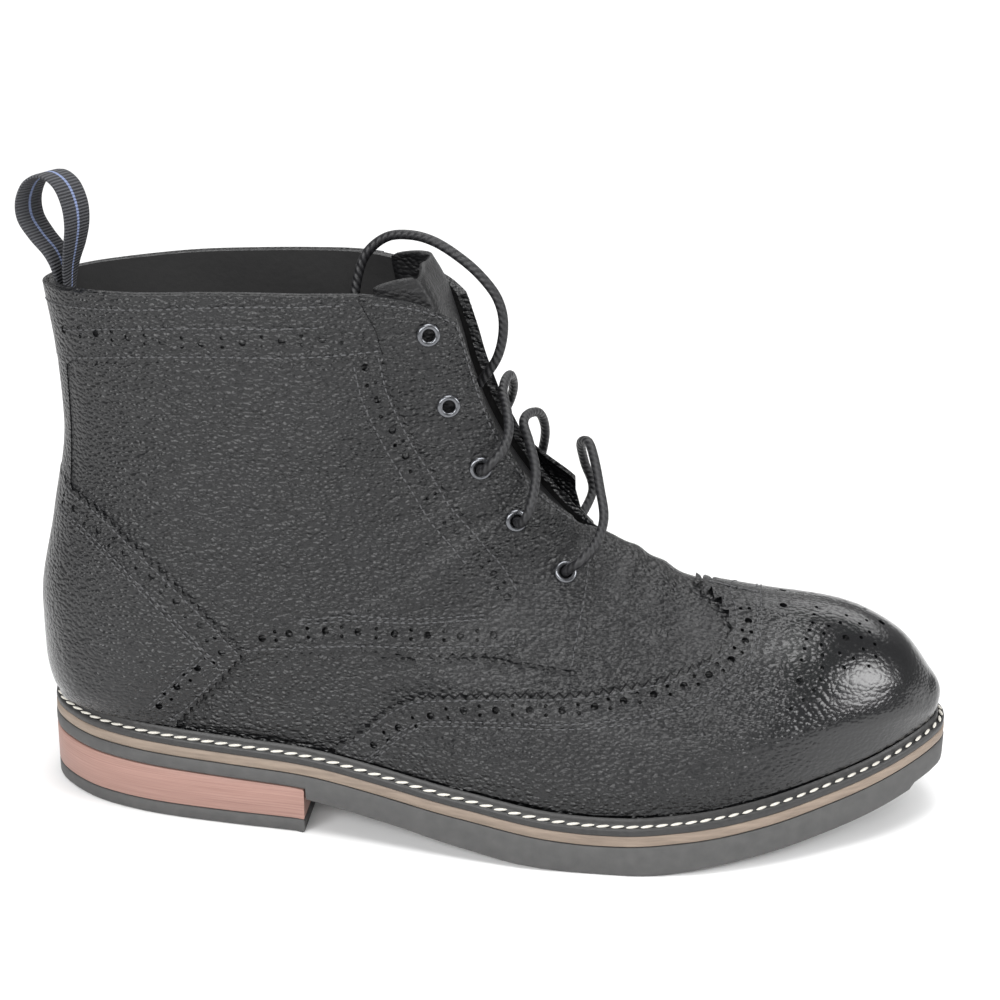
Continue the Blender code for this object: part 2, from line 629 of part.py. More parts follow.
def grid_frame(u, tau, side):
    """Point and normal of the grid's own facet at (u, tau)."""
    i = min(int(np.searchsorted(UGRID, u)) - 1, len(UGRID) - 2)
    j = min(int(tau * LEVEL_COUNT), LEVEL_COUNT - 1)
    s = (u - UGRID[i]) / (UGRID[i + 1] - UGRID[i])
    t = tau * LEVEL_COUNT - j
    corners = [grid_key(i, side, j), grid_key(i + 1, side, j),
               grid_key(i + 1, side, j + 1), grid_key(i, side, j + 1)]
    a, b, c, d = [POINTS[key] for key in corners]
    point = a + s * (b - a) + t * (c - b) if s > t else a + s * (c - d) + t * (d - a)
    flat = np.cross(b - a, c - a) if s > t else np.cross(c - a, d - a)
    flat = flat / np.linalg.norm(flat)
    lifts = [flare((i + k, side, j + m)) for k in (0, 1) for m in (0, 1)]
    return point, flat if flat[1] * side > 0 else -flat, max(lifts)


def ring_at(point, axis, radius, height, count):
    """Points of a circle around axis."""
    turn = Vector(axis).to_track_quat("Z", "X").to_matrix()
    angles = np.linspace(0, 2 * np.pi, count, endpoint=False)
    return [
        Vector(point) + turn @ Vector((radius * np.cos(a), radius * np.sin(a), height)) for a in angles
    ]


EYELET_SIDES = 10
seats = {}
for word, side in SIDES.items():
    holes = []
    for number, (u, tau) in enumerate(EYELETS, 1):
        point, axis, lift = grid_frame(u, tau, side)
        seats[word, number] = (point + axis * lift, axis)
        loft("eyelet_%s_%d" % (word, number), [
            ring_at(point, axis, radius, height + (lift if height > 0 else 0), EYELET_SIDES)
            for radius, height in EYELET_PROFILE
        ], (0.10, 0.105, 0.11), 0.35, 0.9, closed=True)
        holes.append((point, axis))
    verts, faces = [], []
    for point, axis in holes:
        base = len(verts)
        for height in (-0.006, 0.009):
            verts += ring_at(point, axis, EYELET_HOLE, height, EYELET_SIDES)
        n = EYELET_SIDES
        faces += [[base + k for k in range(n)], [base + n + k for k in range(n)]]
        faces += [[base + k, base + (k + 1) % n, base + n + (k + 1) % n, base + n + k] for k in range(n)]
    punch = add_mesh("eyelet_holes_" + word, verts, faces, group=CUTTERS)
    turn_out(punch)
    cut(upper, punch, "DIFFERENCE")
    cut(facings[word], punch, "DIFFERENCE")

# the tongue: the upper's own front, set inwards and bridged across the throat
TONGUE_ROWS = range(int(np.argmin(abs(UGRID - BY_NAME["tread"]))) + 1, len(UGRID))
TONGUE_LOW = 8
TONGUE_TIP = [(-0.0112, 0.0376), (-0.0272, 0.0753)]  # dx of SOLE_LENGTH, dz of BOOT_HEIGHT


def tongue_row(i):
    """Keys and points across one station, lateral to medial."""
    lateral = [(i, -1, j) for j in range(TONGUE_LOW, LEVEL_COUNT + 1)]
    medial = [(i, 1, j) for j in range(LEVEL_COUNT, TONGUE_LOW - 1, -1)]
    left = [POINTS[grid_key(*k)] - NORMALS[grid_key(*k)] * TONGUE_DEPTH for k in lateral]
    right = [POINTS[grid_key(*k)] - NORMALS[grid_key(*k)] * TONGUE_DEPTH for k in medial]
    if i <= THROAT_ROW:
        return left[:-1] + [left[-1]] + right[1:]
    middle = (left[-1] + right[0]) / 2
    return left[:-1] + [middle] + right[1:]


rows = [tongue_row(i) for i in TONGUE_ROWS]
half = len(rows[0]) // 2
for dx, dz in TONGUE_TIP:
    reach = [(1 - abs(k - half) / half) ** 0.8 for k in range(len(rows[0]))]
    base = rows[len(TONGUE_ROWS) - 1]
    rise = np.array([dx * SOLE_LENGTH, 0, dz * BOOT_HEIGHT])
    rows.append([p + rise * r + np.array([0, 0, rise[2] * 0.12]) for p, r in zip(base, reach)])
wide = len(rows[0])
tongue_faces = []
for i in range(len(rows) - 1):
    for k in range(wide - 1):
        a, b, c, d = i * wide + k, (i + 1) * wide + k, (i + 1) * wide + k + 1, i * wide + k + 1
        tongue_faces += [[a, d, c], [a, c, b]]
tongue = add_mesh("tongue", [p for row in rows for p in row], tongue_faces, BLACK, 0.5)
solidify(tongue, TONGUE_THICKNESS, -1)


def curve_through(points, count):
    """Even points on a smooth curve through the given ones."""
    pts = np.array(points, float)
    padded = np.vstack([2 * pts[0] - pts[1], pts, 2 * pts[-1] - pts[-2]])
    out = []
    for i in range(1, len(padded) - 2):
        p0, p1, p2, p3 = padded[i - 1 : i + 3]
        for s in np.linspace(0, 1, 12, endpoint=False):
            out.append(0.5 * (2 * p1 + (p2 - p0) * s + (2 * p0 - 5 * p1 + 4 * p2 - p3) * s**2
                              + (3 * p1 - p0 - 3 * p2 + p3) * s**3))
    out.append(pts[-1])
    out = np.array(out)
    far = np.r_[0, np.cumsum(np.linalg.norm(np.diff(out, axis=0), axis=1))]
    at = np.linspace(0, far[-1], count)
    return np.stack([np.interp(at, far, out[:, k]) for k in range(3)], 1)


def tube(name, points, radius, colour, rough):
    data = bpy.data.curves.new(name, "CURVE")
    data.dimensions = "3D"
    data.bevel_depth = radius
    data.bevel_resolution = 1
    data.use_fill_caps = True
    spline = data.splines.new("POLY")
    spline.points.add(len(points) - 1)
    for target, p in zip(spline.points, points):
        target.co = (*map(float, p), 1)
    obj = bpy.data.objects.new(name, data)
    PARTS.objects.link(obj)
    data.materials.append(material(name, colour, rough))
    return obj


MM = 0.001
LACE_PATHS = {  # the slack crossings from lateral to medial: x of SOLE_LENGTH, y of BALL_WIDTH, z of BOOT_HEIGHT
    3: [
        (0.5048, -0.2273, 0.7043), (0.5144, -0.1955, 0.7231), (0.5176, -0.1364, 0.7446),
        (0.5128, -0.0636, 0.7688), (0.5064, 0.0000, 0.7849), (0.5064, 0.0727, 0.7957),
        (0.5096, 0.1364, 0.7930), (0.5112, 0.1909, 0.7634), (0.5064, 0.2318, 0.7258),
    ],
    4: [
        (0.5417, -0.2318, 0.6102), (0.5465, -0.1955, 0.6425), (0.5465, -0.1364, 0.6747),
        (0.5369, -0.0636, 0.7097), (0.5288, 0.0000, 0.7312), (0.5321, 0.0727, 0.7339),
        (0.5417, 0.1455, 0.7204), (0.5465, 0.2000, 0.6801), (0.5433, 0.2364, 0.6317),
    ],
    5: [
        (0.5978, -0.2091, 0.5215), (0.6122, -0.1545, 0.5430), (0.6186, -0.0818, 0.5753),
        (0.6122, -0.0182, 0.6183), (0.6042, 0.0545, 0.6559), (0.5962, 0.1182, 0.6747),
        (0.5865, 0.1818, 0.6586), (0.5897, 0.2455, 0.6075), (0.5994, 0.2591, 0.5484),
    ],
}
SPAN = np.array([SOLE_LENGTH, BALL_WIDTH, BOOT_HEIGHT])
LACE = (0.035, 0.035, 0.038)
for number, middle in LACE_PATHS.items():
    start, start_axis = seats["lateral", number]
    end, end_axis = seats["medial", number]
    path = [start + start_axis * LACE_SEAT, start + start_axis * LACE_STRAIGHT]
    path += [np.array(p) * SPAN for p in middle]
    path += [end + end_axis * LACE_STRAIGHT, end + end_axis * LACE_SEAT]
    tube("lace_bar_%d" % number, curve_through(path, 15), LACE_RADIUS, LACE, 0.6)
LACE_END = [  # the free end, in the same shares: out of the throat, over the tongue and down inside
    (0.4821, -0.0273, 0.8065), (0.5016, -0.0455, 0.8602), (0.5080, -0.0545, 0.9194),
    (0.5016, -0.0545, 0.9677), (0.4824, -0.0455, 1.0081), (0.4583, -0.0273, 1.0376),
    (0.4327, -0.0091, 1.0591), (0.4071, 0.0182, 1.0645), (0.3814, 0.0364, 1.0565),
    (0.3606, 0.0364, 1.0269), (0.3510, 0.0273, 0.9839), (0.3478, 0.0091, 0.9247),
    (0.3494, 0.0000, 0.8495),
]
tube("lace_end", curve_through(np.array(LACE_END) * SPAN, 17), LACE_RADIUS, LACE, 0.6)

# the pull loop: webbing in a teardrop, its two legs set inside the collar
LOOP_PATH = [  # x of SOLE_LENGTH, z of BOOT_HEIGHT, and the webbing's turn about the vertical in degrees
    (0.0455, 0.9032, 0), (0.0433, 0.9462, 0), (0.0378, 0.9839, 4), (0.0212, 1.0161, 14),
    (0.0045, 1.0484, 22), (-0.0051, 1.0860, 24), (-0.0045, 1.1237, 24), (0.0071, 1.1516, 24),
    (0.0263, 1.1570, 24), (0.0436, 1.1344, 24), (0.0545, 1.0968, 24), (0.0583, 1.0538, 22),
    (0.0577, 1.0108, 14), (0.0558, 0.9731, 4), (0.0558, 0.9355, 0), (0.0564, 0.9032, 0),
]


def webbing_rings():
    spine = curve_through([(x * SOLE_LENGTH, turn * MM, z * BOOT_HEIGHT) for x, z, turn in LOOP_PATH], 26)
    rings = []
    for k, (x, turn, z) in enumerate(spine):
        ahead = spine[min(k + 1, len(spine) - 1)] - spine[max(k - 1, 0)]
        angle = np.radians(turn / MM)
        across = np.array([np.sin(angle), np.cos(angle), 0])
        tangent = np.array([ahead[0], 0, ahead[2]])
        face = np.cross(tangent / np.linalg.norm(tangent), across)
        face /= np.linalg.norm(face)
        centre = np.array([x, 0, z])
        rings.append([
            centre + across * a * WEBBING_WIDTH / 2 + face * b * WEBBING_THICKNESS / 2
            for a, b in ((-1, -1), (1, -1), (1, 1), (-1, 1))
        ])
    return rings


loft("pull_loop", webbing_rings(), (0.09, 0.09, 0.10), 0.8)


def recentre():
    """Moves everything so that the origin lies under the middle of the boot's bounding box."""
    bpy.context.view_layer.update()
    graph = bpy.context.evaluated_depsgraph_get()
    corners = []
    for obj in PARTS.objects:
        if obj.name != "lace_end":
            seen = obj.evaluated_get(graph)
            mesh = seen.to_mesh()
            corners += [vertex.co.copy() for vertex in mesh.vertices]
            seen.to_mesh_clear()
    low = [min(c[k] for c in corners) for k in range(3)]
    high = [max(c[k] for c in corners) for k in range(3)]
    shift = Matrix.Translation((-(low[0] + high[0]) / 2, -(low[1] + high[1]) / 2, -low[2]))
    for obj in list(PARTS.objects) + list(CUTTERS.objects):
        obj.data.transform(shift)
    print("shift", [round(v * 1000, 3) for v in shift.translation])


recentre()
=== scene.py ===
"""Right wingtip boot in black pebbled leather, dressed around its solids.

Design frame of the tables: x from the back of the sole to the toe, y from the lateral side (-)
to the medial side (+), z up from the ground. SHIFT moves them into the shared frame.
"""

import bpy
import numpy as np
from mathutils import Matrix, Vector


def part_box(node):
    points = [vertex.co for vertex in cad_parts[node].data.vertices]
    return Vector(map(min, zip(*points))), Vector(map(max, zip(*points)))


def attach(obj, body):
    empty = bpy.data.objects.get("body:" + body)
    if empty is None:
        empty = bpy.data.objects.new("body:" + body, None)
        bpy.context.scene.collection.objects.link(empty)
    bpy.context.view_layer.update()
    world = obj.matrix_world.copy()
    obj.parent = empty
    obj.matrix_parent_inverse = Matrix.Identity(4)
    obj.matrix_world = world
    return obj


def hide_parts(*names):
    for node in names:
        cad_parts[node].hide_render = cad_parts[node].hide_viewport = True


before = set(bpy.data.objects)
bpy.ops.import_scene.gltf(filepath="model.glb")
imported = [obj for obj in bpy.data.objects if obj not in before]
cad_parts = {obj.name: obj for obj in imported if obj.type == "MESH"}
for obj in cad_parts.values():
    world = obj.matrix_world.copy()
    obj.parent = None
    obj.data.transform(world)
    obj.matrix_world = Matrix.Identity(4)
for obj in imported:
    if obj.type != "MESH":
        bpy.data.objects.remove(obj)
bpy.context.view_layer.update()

# sizes, metres
MM = 0.001
SOLE_LENGTH = 0.312
BALL_WIDTH = 0.110
BOOT_HEIGHT = 0.186
HEEL_LENGTH = 0.0970
LIFT_THICKNESS = 0.0050
OUTSOLE_AT_HEEL = 0.0050
MIDSOLE_THICKNESS = 0.0040
WELT_INSET = 0.0046
FEATHER_RISE = 0.0100
WALL = 0.0020
HEEL_FULL = 0.145
COLLAR_BOW = 0.0090
TONGUE_DEPTH = 0.0030
TONGUE_THICKNESS = 0.0016
TOE_STEP_AT = 0.962
TOE_STEP = 0.0015
FLARE = 0.0060
FLARE_FROM = 0.68
FLARE_SPAN = [0.36, 0.43, 0.54, 0.70]
LACE_RADIUS = 0.0016
WEBBING_WIDTH = 0.0120
WEBBING_THICKNESS = 0.0013
MESH_STEP = 0.0014
# height of each leather's face above the upper, metres
FACING_TOP = 0.00125
QUARTER_TOP = 0.0017
WING_TOP = 0.0015
OVER_TOP = 0.00215
BACKSTAY_TOP = 0.00195
BIG_HOLE = 0.00130
SMALL_HOLE = 0.00066
STITCH_LENGTH = 0.0019
STITCH_GAP = 0.0007
STITCH_RADIUS = 0.00030
PINK_PITCH = 0.0036
PINK_DEPTH = 0.0014
# gaps, holes and cuts, metres
OVERLAY_GAP = 0.00005
LAYER_GAP = 0.00015
HOLE_DEPTH = 0.0030
PAIR_SPACING = 0.0015
EYELET_CUT = 0.0026
UPPER_CUT_DEPTH = 0.0120
FACING_CUT_DEPTH = 0.0160
HOLE_SIDES = 14
CUT_SIDES = 20
STITCH_SIDES = 6
# the welt's stitches: how many, their slant in degrees, size and place in the groove
WELT_STITCHES = 144
WELT_STITCH_SLANT = 16
WELT_STITCH_SIZE = (0.00225, 0.00055, 0.00045)
WELT_GROOVE = 0.0016
WELT_GROOVE_RISE = 0.0030

OUTLINE = [
    (0.0000, -0.0136, 0.0136), (0.0064, -0.0818, 0.0818), (0.0288, -0.1727, 0.1682),
    (0.0769, -0.2682, 0.2591), (0.1442, -0.3273, 0.3182), (0.2244, -0.3591, 0.3364),
    (0.3045, -0.3818, 0.3227), (0.3846, -0.4227, 0.3136), (0.4808, -0.4800, 0.3455),
    (0.5769, -0.5182, 0.4136), (0.6571, -0.5218, 0.4691), (0.7212, -0.4964, 0.4873),
    (0.8013, -0.4173, 0.4618), (0.8814, -0.2945, 0.3909), (0.9359, -0.1927, 0.3091),
    (0.9712, -0.1027, 0.2291), (0.9888, -0.0418, 0.1691), (0.9978, 0.0091, 0.1164),
    (1.0000, 0.0455, 0.0818),
]
SEAT = [
    (0.0000, 0.1317), (0.2885, 0.1183), (0.4808, 0.0801), (0.6250, 0.0565), (0.7532, 0.0688),
    (0.8814, 0.1022), (1.0000, 0.1532),
]
UNDERSIDE = [
    (0.3109, 0.0677), (0.4006, 0.0462), (0.4808, 0.0226), (0.5513, 0.0054), (0.6090, 0.0000),
    (0.6795, 0.0000), (0.7532, 0.0124), (0.8814, 0.0457), (1.0000, 0.0968),
]
COLUMNS = "bx bz tx tz ridge edge bow l10 l35 l65 l90 m10 m35 m65 m90".split()
SECTIONS = {
    "toe_tip": (
        0.9846, 0.1909, 0.9853, 0.1935, 0.0455, 0, 0,
        1, 1, 0.8, 0.45, 1, 1, 0.8, 0.45,
    ),
    "toe_front": (
        0.9808, 0.1898, 0.9872, 0.2339, 0.0455, 0, 0,
        1.04, 1.03, 0.82, 0.46, 1.04, 1.03, 0.82, 0.46,
    ),
    "toe_round": (
        0.9647, 0.1828, 0.9731, 0.2769, 0.0455, 0, 0,
        1.03, 1.03, 0.82, 0.46, 1.03, 1.03, 0.82, 0.46,
    ),
    "toe_cap": (
        0.9263, 0.1667, 0.9423, 0.3387, 0.0455, 0, 0,
        1.02, 1.02, 0.82, 0.46, 1.02, 1.02, 0.82, 0.46,
    ),
    "toe_box": (
        0.8590, 0.1419, 0.8766, 0.3898, 0.0409, 0, 0,
        1.02, 1, 0.8, 0.44, 1.02, 1.01, 0.8, 0.44,
    ),
    "flex": (
        0.7788, 0.1204, 0.7901, 0.4086, 0.0364, 0, 0,
        1.01, 0.97, 0.72, 0.37, 1.01, 0.98, 0.74, 0.39,
    ),
    "ball": (
        0.7019, 0.1108, 0.7212, 0.4333, 0.0318, 0, 0,
        1.01, 0.93, 0.65, 0.31, 1.02, 0.94, 0.66, 0.32,
    ),
    "tread": (
        0.6090, 0.1097, 0.6571, 0.4925, 0.0273, 0, 0,
        1.01, 0.91, 0.6, 0.28, 1.02, 0.93, 0.61, 0.28,
    ),
    "instep": (
        0.4968, 0.1247, 0.6138, 0.5301, 0.0182, 0, 0,
        1.01, 0.92, 0.62, 0.29, 1.03, 0.99, 0.66, 0.29,
    ),
    "throat": (
        0.3782, 0.1516, 0.5913, 0.5538, 0.0091, 0.0455, 0,
        1.01, 0.98, 0.7, 0.36, 1.05, 1.1, 0.8, 0.38,
    ),
    "waist": (
        0.2628, 0.1715, 0.5657, 0.5914, 0, 0.0818, 0,
        1.05, 1.04, 0.83, 0.49, 1.07, 1.09, 0.86, 0.51,
    ),
    "heel_base": (
        0.1346, 0.1817, 0.5401, 0.6387, 0, 0.1045, 0,
        1.07, 1.14, 0.98, 0.64, 1.07, 1.14, 1, 0.65,
    ),
    "heel_turn": (
        0.0449, 0.1860, 0.5208, 0.6828, 0, 0.1182, 0,
        1, 1.14, 0.99, 0.66, 1, 1.14, 1.02, 0.67,
    ),
    "seat_back": (
        0.0147, 0.1871, 0.5096, 0.7161, 0, 0.1227, 0,
        0.92, 1.12, 0.99, 0.66, 0.92, 1.12, 1.02, 0.68,
    ),
    "counter": (
        0.0019, 0.2527, 0.4978, 0.7527, 0, 0.1273, 0,
        0.84, 1.08, 0.99, 0.66, 0.84, 1.08, 1.02, 0.68,
    ),
    "bulge": (
        0.0006, 0.3548, 0.4881, 0.7925, 0, 0.1273, 0,
        0.76, 1.02, 0.97, 0.67, 0.77, 1.03, 1, 0.69,
    ),
    "ankle": (
        0.0192, 0.5269, 0.4785, 0.8355, 0, 0.1273, 0.05,
        0.66, 0.95, 0.95, 0.67, 0.67, 0.97, 0.98, 0.69,
    ),
    "shaft": (
        0.0362, 0.7097, 0.4708, 0.8796, 0, 0.1318, 0.3,
        0.59, 0.9, 0.93, 0.68, 0.6, 0.92, 0.96, 0.7,
    ),
    "band": (
        0.0330, 0.8387, 0.4647, 0.9113, 0, 0.1318, 0.65,
        0.58, 0.87, 0.9, 0.68, 0.59, 0.89, 0.93, 0.7,
    ),
    "collar": (
        0.0231, 0.9677, 0.4583, 0.9419, 0, 0.1318, 1,
        0.58, 0.86, 0.89, 0.67, 0.6, 0.88, 0.92, 0.69,
    ),
}
NAMES = list(SECTIONS)
BOW = [(0, 0), (0.2, 0.33), (0.4, 0.66), (0.6, 0.88), (0.78, 1.0), (0.89, 0.80), (0.96, 0.42), (1, 0)]
EYELETS = [(0.953, 0.830), (0.8195, 0.846), (0.712, 0.858), (0.604, 0.828), (0.460, 0.752)]
# side-view lines, x and z in mm: the edges that are pinked, then the rest of each panel
WING_EDGE = [
    (108.9, 33.9), (115.8, 38.8), (122.5, 45.6), (129.2, 50.4), (137.6, 53.6), (162.5, 56.2),
    (181.2, 57.3), (197.3, 58.4), (212.0, 60.4), (221.9, 62.8), (229.3, 65.2), (235.0, 68.6),
    (236.8, 72.2), (235.6, 75.6), (231.4, 79.2), (223.5, 83.5), (216.0, 100.0),
]
WING_REST = [
    (330.0, 100.0), (330.0, 38.8), (312.0, 38.6), (300.0, 35.1), (275.0, 29.1), (235.0, 22.9),
    (195.0, 20.6), (150.0, 25.2), (125.0, 28.4), (107.0, 30.6),
]
COUNTER_EDGE = [
    (4.0, 115.5), (14.0, 112.8), (26.8, 107.4), (41.5, 97.0), (58.6, 81.8), (76.4, 64.2),
    (69.7, 55.4), (62.4, 47.0), (55.0, 38.6), (50.2, 33.5),
]
COUNTER_REST = [(-15.0, 34.8), (-15.0, 116.5)]
BAND_EDGE = [
    (-15.0, 153.5), (16.0, 155.5), (40.0, 160.0), (64.0, 162.1), (84.0, 162.8), (103.0, 164.0),
    (121.9, 165.8),
]
BAND_REST = [(119.8, 174.3), (114.6, 184.0), (113.2, 200.0), (-15.0, 200.0)]
BACKSTAY_LINE = [(-15.0, 112.0), (4.0, 112.0), (14.6, 110.0), (15.2, 160.0), (-15.0, 160.0)]
QUARTER_LOW = [
    (60.0, 62.0), (76.8, 63.4), (95.5, 65.2), (115.6, 67.2), (135.4, 66.9), (155.1, 67.7), (166.0, 67.8),
]
QUARTER_FRONT = [
    (166.9, 86.2), (162.0, 94.0), (156.2, 101.4), (149.8, 108.8), (144.0, 115.6), (138.8, 124.5),
    (133.3, 133.8), (129.0, 142.5), (124.5, 153.5), (121.9, 165.2),
]
QUARTER_REST = [(116.0, 178.0), (113.6, 184.5), (113.2, 200.0), (-15.0, 200.0), (-15.0, 80.0), (30.0, 80.0)]
FACING_FRONT = [
    (187.5, 63.9), (189.0, 75.0), (190.3, 84.0), (190.6, 91.0), (188.4, 97.6), (184.0, 101.5),
    (182.0, 108.0), (182.0, 130.0), (165.0, 195.0),
]
FACING_REST = [
    (112.0, 200.0), (112.0, 180.0), (118.0, 160.0), (124.0, 141.0), (133.0, 122.0), (146.0, 102.0),
    (158.0, 84.0), (160.0, 67.0),
]
WING_HOLES = [
    (120.7, 35.2), (129.1, 42.2), (139.9, 47.6), (150.9, 50.4), (161.4, 51.6), (172.6, 52.4), (183.1, 52.9),
    (193.4, 53.9), (202.7, 55.2), (212.3, 56.6), (221.9, 58.6), (230.0, 61.2), (237.0, 64.6), (241.4, 68.6),
    (242.2, 72.6), (239.6, 77.2), (233.5, 81.0),
]
COUNTER_HOLES = [
    (8.1, 107.4), (17.6, 105.4), (27.1, 100.4), (36.8, 95.0), (45.9, 88.2), (54.1, 80.6), (62.2, 72.8),
    (69.1, 64.0), (60.5, 57.6), (53.0, 49.8), (46.3, 41.6),
]
BAND_HOLES = [
    (5.0, 165.8), (16.8, 166.9), (28.9, 168.2), (40.4, 168.5), (51.7, 168.3), (64.5, 168.5), (77.9, 169.5),
    (90.5, 170.5), (103.3, 171.6), (114.8, 172.2),
]
QUARTER_HOLES_LOW = [
    (82.7, 69.6), (91.7, 71.6), (104.1, 72.6), (114.8, 73.4), (126.6, 73.1), (137.4, 72.6), (148.2, 72.2),
    (159.0, 72.6),
]
QUARTER_HOLES_FRONT = [
    (116.4, 162.1), (120.0, 151.4), (124.6, 140.7), (128.7, 131.7), (134.4, 122.6), (139.7, 113.2),
    (145.7, 106.2), (152.1, 98.8), (157.7, 91.5), (162.5, 83.9),
]
# the toe's rosette as (u, tau) of the upper, mirrored over the ridge
ROSETTE_BIG = [(0.193, 0.93), (0.133, 0.800), (0.173, 0.622), (0.097, 0.985)]
ROSETTE_SMALL = [
    (0.162, 0.947), (0.164, 0.899), (0.165, 0.854), (0.168, 0.818), (0.170, 0.778), (0.171, 0.739),
    (0.173, 0.697), (0.154, 0.628), (0.159, 0.590), (0.168, 0.557), (0.179, 0.530), (0.150, 0.847),
    (0.154, 0.809), (0.156, 0.759), (0.154, 0.718), (0.153, 0.672), (0.139, 0.875), (0.133, 0.927),
    (0.120, 0.897), (0.118, 0.820), (0.115, 0.764), (0.138, 0.731), (0.124, 0.715), (0.132, 0.673),
    (0.108, 0.691), (0.102, 0.743), (0.104, 0.806), (0.110, 0.866), (0.113, 0.938),
]
# soft creases: side or 0 for both, x and z of both ends in mm, half width and depth in mm (- is a ridge)
CREASES = [
    (-1, 150, 119, 124, 109, 3.2, 0.55), (-1, 149, 127, 120, 131, 3.4, 0.50),
    (-1, 154, 109, 130, 97, 3.2, 0.45),
    (-1, 146, 138, 118, 146, 3.6, 0.40), (0, 197, 90, 190, 66, 4.0, 0.50), (0, 208, 88, 204, 62, 4.2, 0.55),
    (0, 220, 85, 219, 64, 4.4, 0.40), (0, 203, 90, 197, 62, 3.0, -0.30), (0, 214, 87, 211, 62, 3.0, -0.30),
    (0, 60, 118, 96, 104, 6.0, 0.55), (0, 50, 132, 104, 124, 7.0, 0.50), (0, 70, 92, 120, 88, 7.0, 0.40),
    (1, 150, 121, 122, 112, 3.4, 0.50), (1, 148, 133, 120, 138, 3.6, 0.45), (0, 175, 60, 150, 44, 6.0, 0.35),
]
LACE_PATHS = {
    3: [(157.5, -25, 131), (160.5, -21.5, 134.5), (161.5, -15, 138.5), (160, -7, 143), (158, 0, 146),
        (158, 8, 148), (159, 15, 147.5), (159.5, 21, 142), (158, 25.5, 135)],
    4: [(169, -25.5, 113.5), (170.5, -21.5, 119.5), (170.5, -15, 125.5), (167.5, -7, 132), (165, 0, 136),
        (166, 8, 136.5), (169, 16, 134), (170.5, 22, 126.5), (169.5, 26, 117.5)],
    5: [(186.5, -23, 97), (191, -17, 101), (193, -9, 107), (191, -2, 115), (188.5, 6, 122),
        (186, 13, 125.5), (183, 20, 122.5), (184, 27, 113), (187, 28.5, 102)],
}
LACE_END = [
    (150.4, -3, 150), (156.5, -5, 160), (158.5, -6, 171), (156.5, -6, 180), (150.5, -5, 187.5),
    (143, -3, 193),
    (135, -1, 197), (127, 2, 198), (119, 4, 196.5), (112.5, 4, 191), (109.5, 3, 183), (108.5, 1, 172),
    (109, 0, 158),
]
LOOP_PATH = [
    (11.2, 168, 0), (11.0, 176, 0), (11.0, 183, 10), (9.4, 188.5, 20), (5.2, 194, 24), (1.8, 200, 26),
    (1.6, 206.5, 26), (4.6, 212.6, 26), (9.6, 214.6, 26), (14.2, 211.5, 26), (16.8, 205, 26), (17.2, 198, 24),
    (16.0, 191, 20), (14.4, 184, 10), (13.6, 176, 0), (13.6, 168, 0),
]

outsole_low, outsole_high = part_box("outsole")
loop_low, loop_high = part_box("pull_loop")
SHIFT = np.array([outsole_low[0], (loop_low[1] + loop_high[1]) / 2, 0.0])


# curves and tables
def slopes(xs, ys):
    """Monotone slopes for a smooth curve through a table's column."""
    h = np.diff(xs)
    d = np.diff(ys) / h
    m = np.zeros(len(xs))
    m[0], m[-1] = d[0], d[-1]
    for i in range(1, len(xs) - 1):
        if d[i - 1] * d[i] > 0:
            w1 = 2 * h[i] + h[i - 1]
            w2 = h[i] + 2 * h[i - 1]
            m[i] = (w1 + w2) / (w1 / d[i - 1] + w2 / d[i])
    return m


def smooth(x, xs, ys):
    """Smooth monotone interpolation of a table's column."""
    xs = np.asarray(xs, float)
    ys = np.asarray(ys, float)
    x = np.clip(x, xs[0], xs[-1])
    m = slopes(xs, ys)
    i = np.clip(np.searchsorted(xs, x) - 1, 0, len(xs) - 2)
    h = xs[i + 1] - xs[i]
    s = (x - xs[i]) / h
    return (
        ys[i] * (1 + 2 * s) * (1 - s) ** 2
        + h * m[i] * s * (1 - s) ** 2
        + ys[i + 1] * s * s * (3 - 2 * s)
        + h * m[i + 1] * s * s * (s - 1)
    )


def column(table, index):
    return np.array([row[index] for row in table], float)


def cosine(a, b, n):
    return a + (b - a) * 0.5 * (1 - np.cos(np.linspace(0, np.pi, n + 1)))


def sole_y(x, side):
    """Edge of the sole's outline at x."""
    at = np.asarray(x) / SOLE_LENGTH
    return smooth(at, column(OUTLINE, 0), column(OUTLINE, 1 if side < 0 else 2)) * BALL_WIDTH


def seat_z(x):
    return smooth(np.asarray(x) / SOLE_LENGTH, column(SEAT, 0), column(SEAT, 1)) * BOOT_HEIGHT


def under_z(x):
    return smooth(np.asarray(x) / SOLE_LENGTH, column(UNDERSIDE, 0), column(UNDERSIDE, 1)) * BOOT_HEIGHT


def even_ring(ring, n):
    """n evenly spaced points on a closed ring."""
    closed = np.r_[ring, ring[:1]]
    far = np.r_[0, np.cumsum(np.hypot(*np.diff(closed, axis=0).T))]
    at = np.linspace(0, far[-1], n, endpoint=False)
    return np.stack([np.interp(at, far, closed[:, 0]), np.interp(at, far, closed[:, 1])], 1)


def move_in(ring, inset):
    """A closed ring moved inwards."""
    ahead = np.roll(ring, -1, 0) - np.roll(ring, 1, 0)
    ahead /= np.hypot(*ahead.T)[:, None]
    return ring + inset * np.stack([-ahead[:, 1], ahead[:, 0]], 1)


def outline_ring(n):
    xs = cosine(0, SOLE_LENGTH, 400)
    ring = np.concatenate([np.stack([xs, sole_y(xs, -1)], 1), np.stack([xs[::-1], sole_y(xs[::-1], 1)], 1)])
    return even_ring(ring, n)


FEATHER = move_in(outline_ring(240), WELT_INSET)


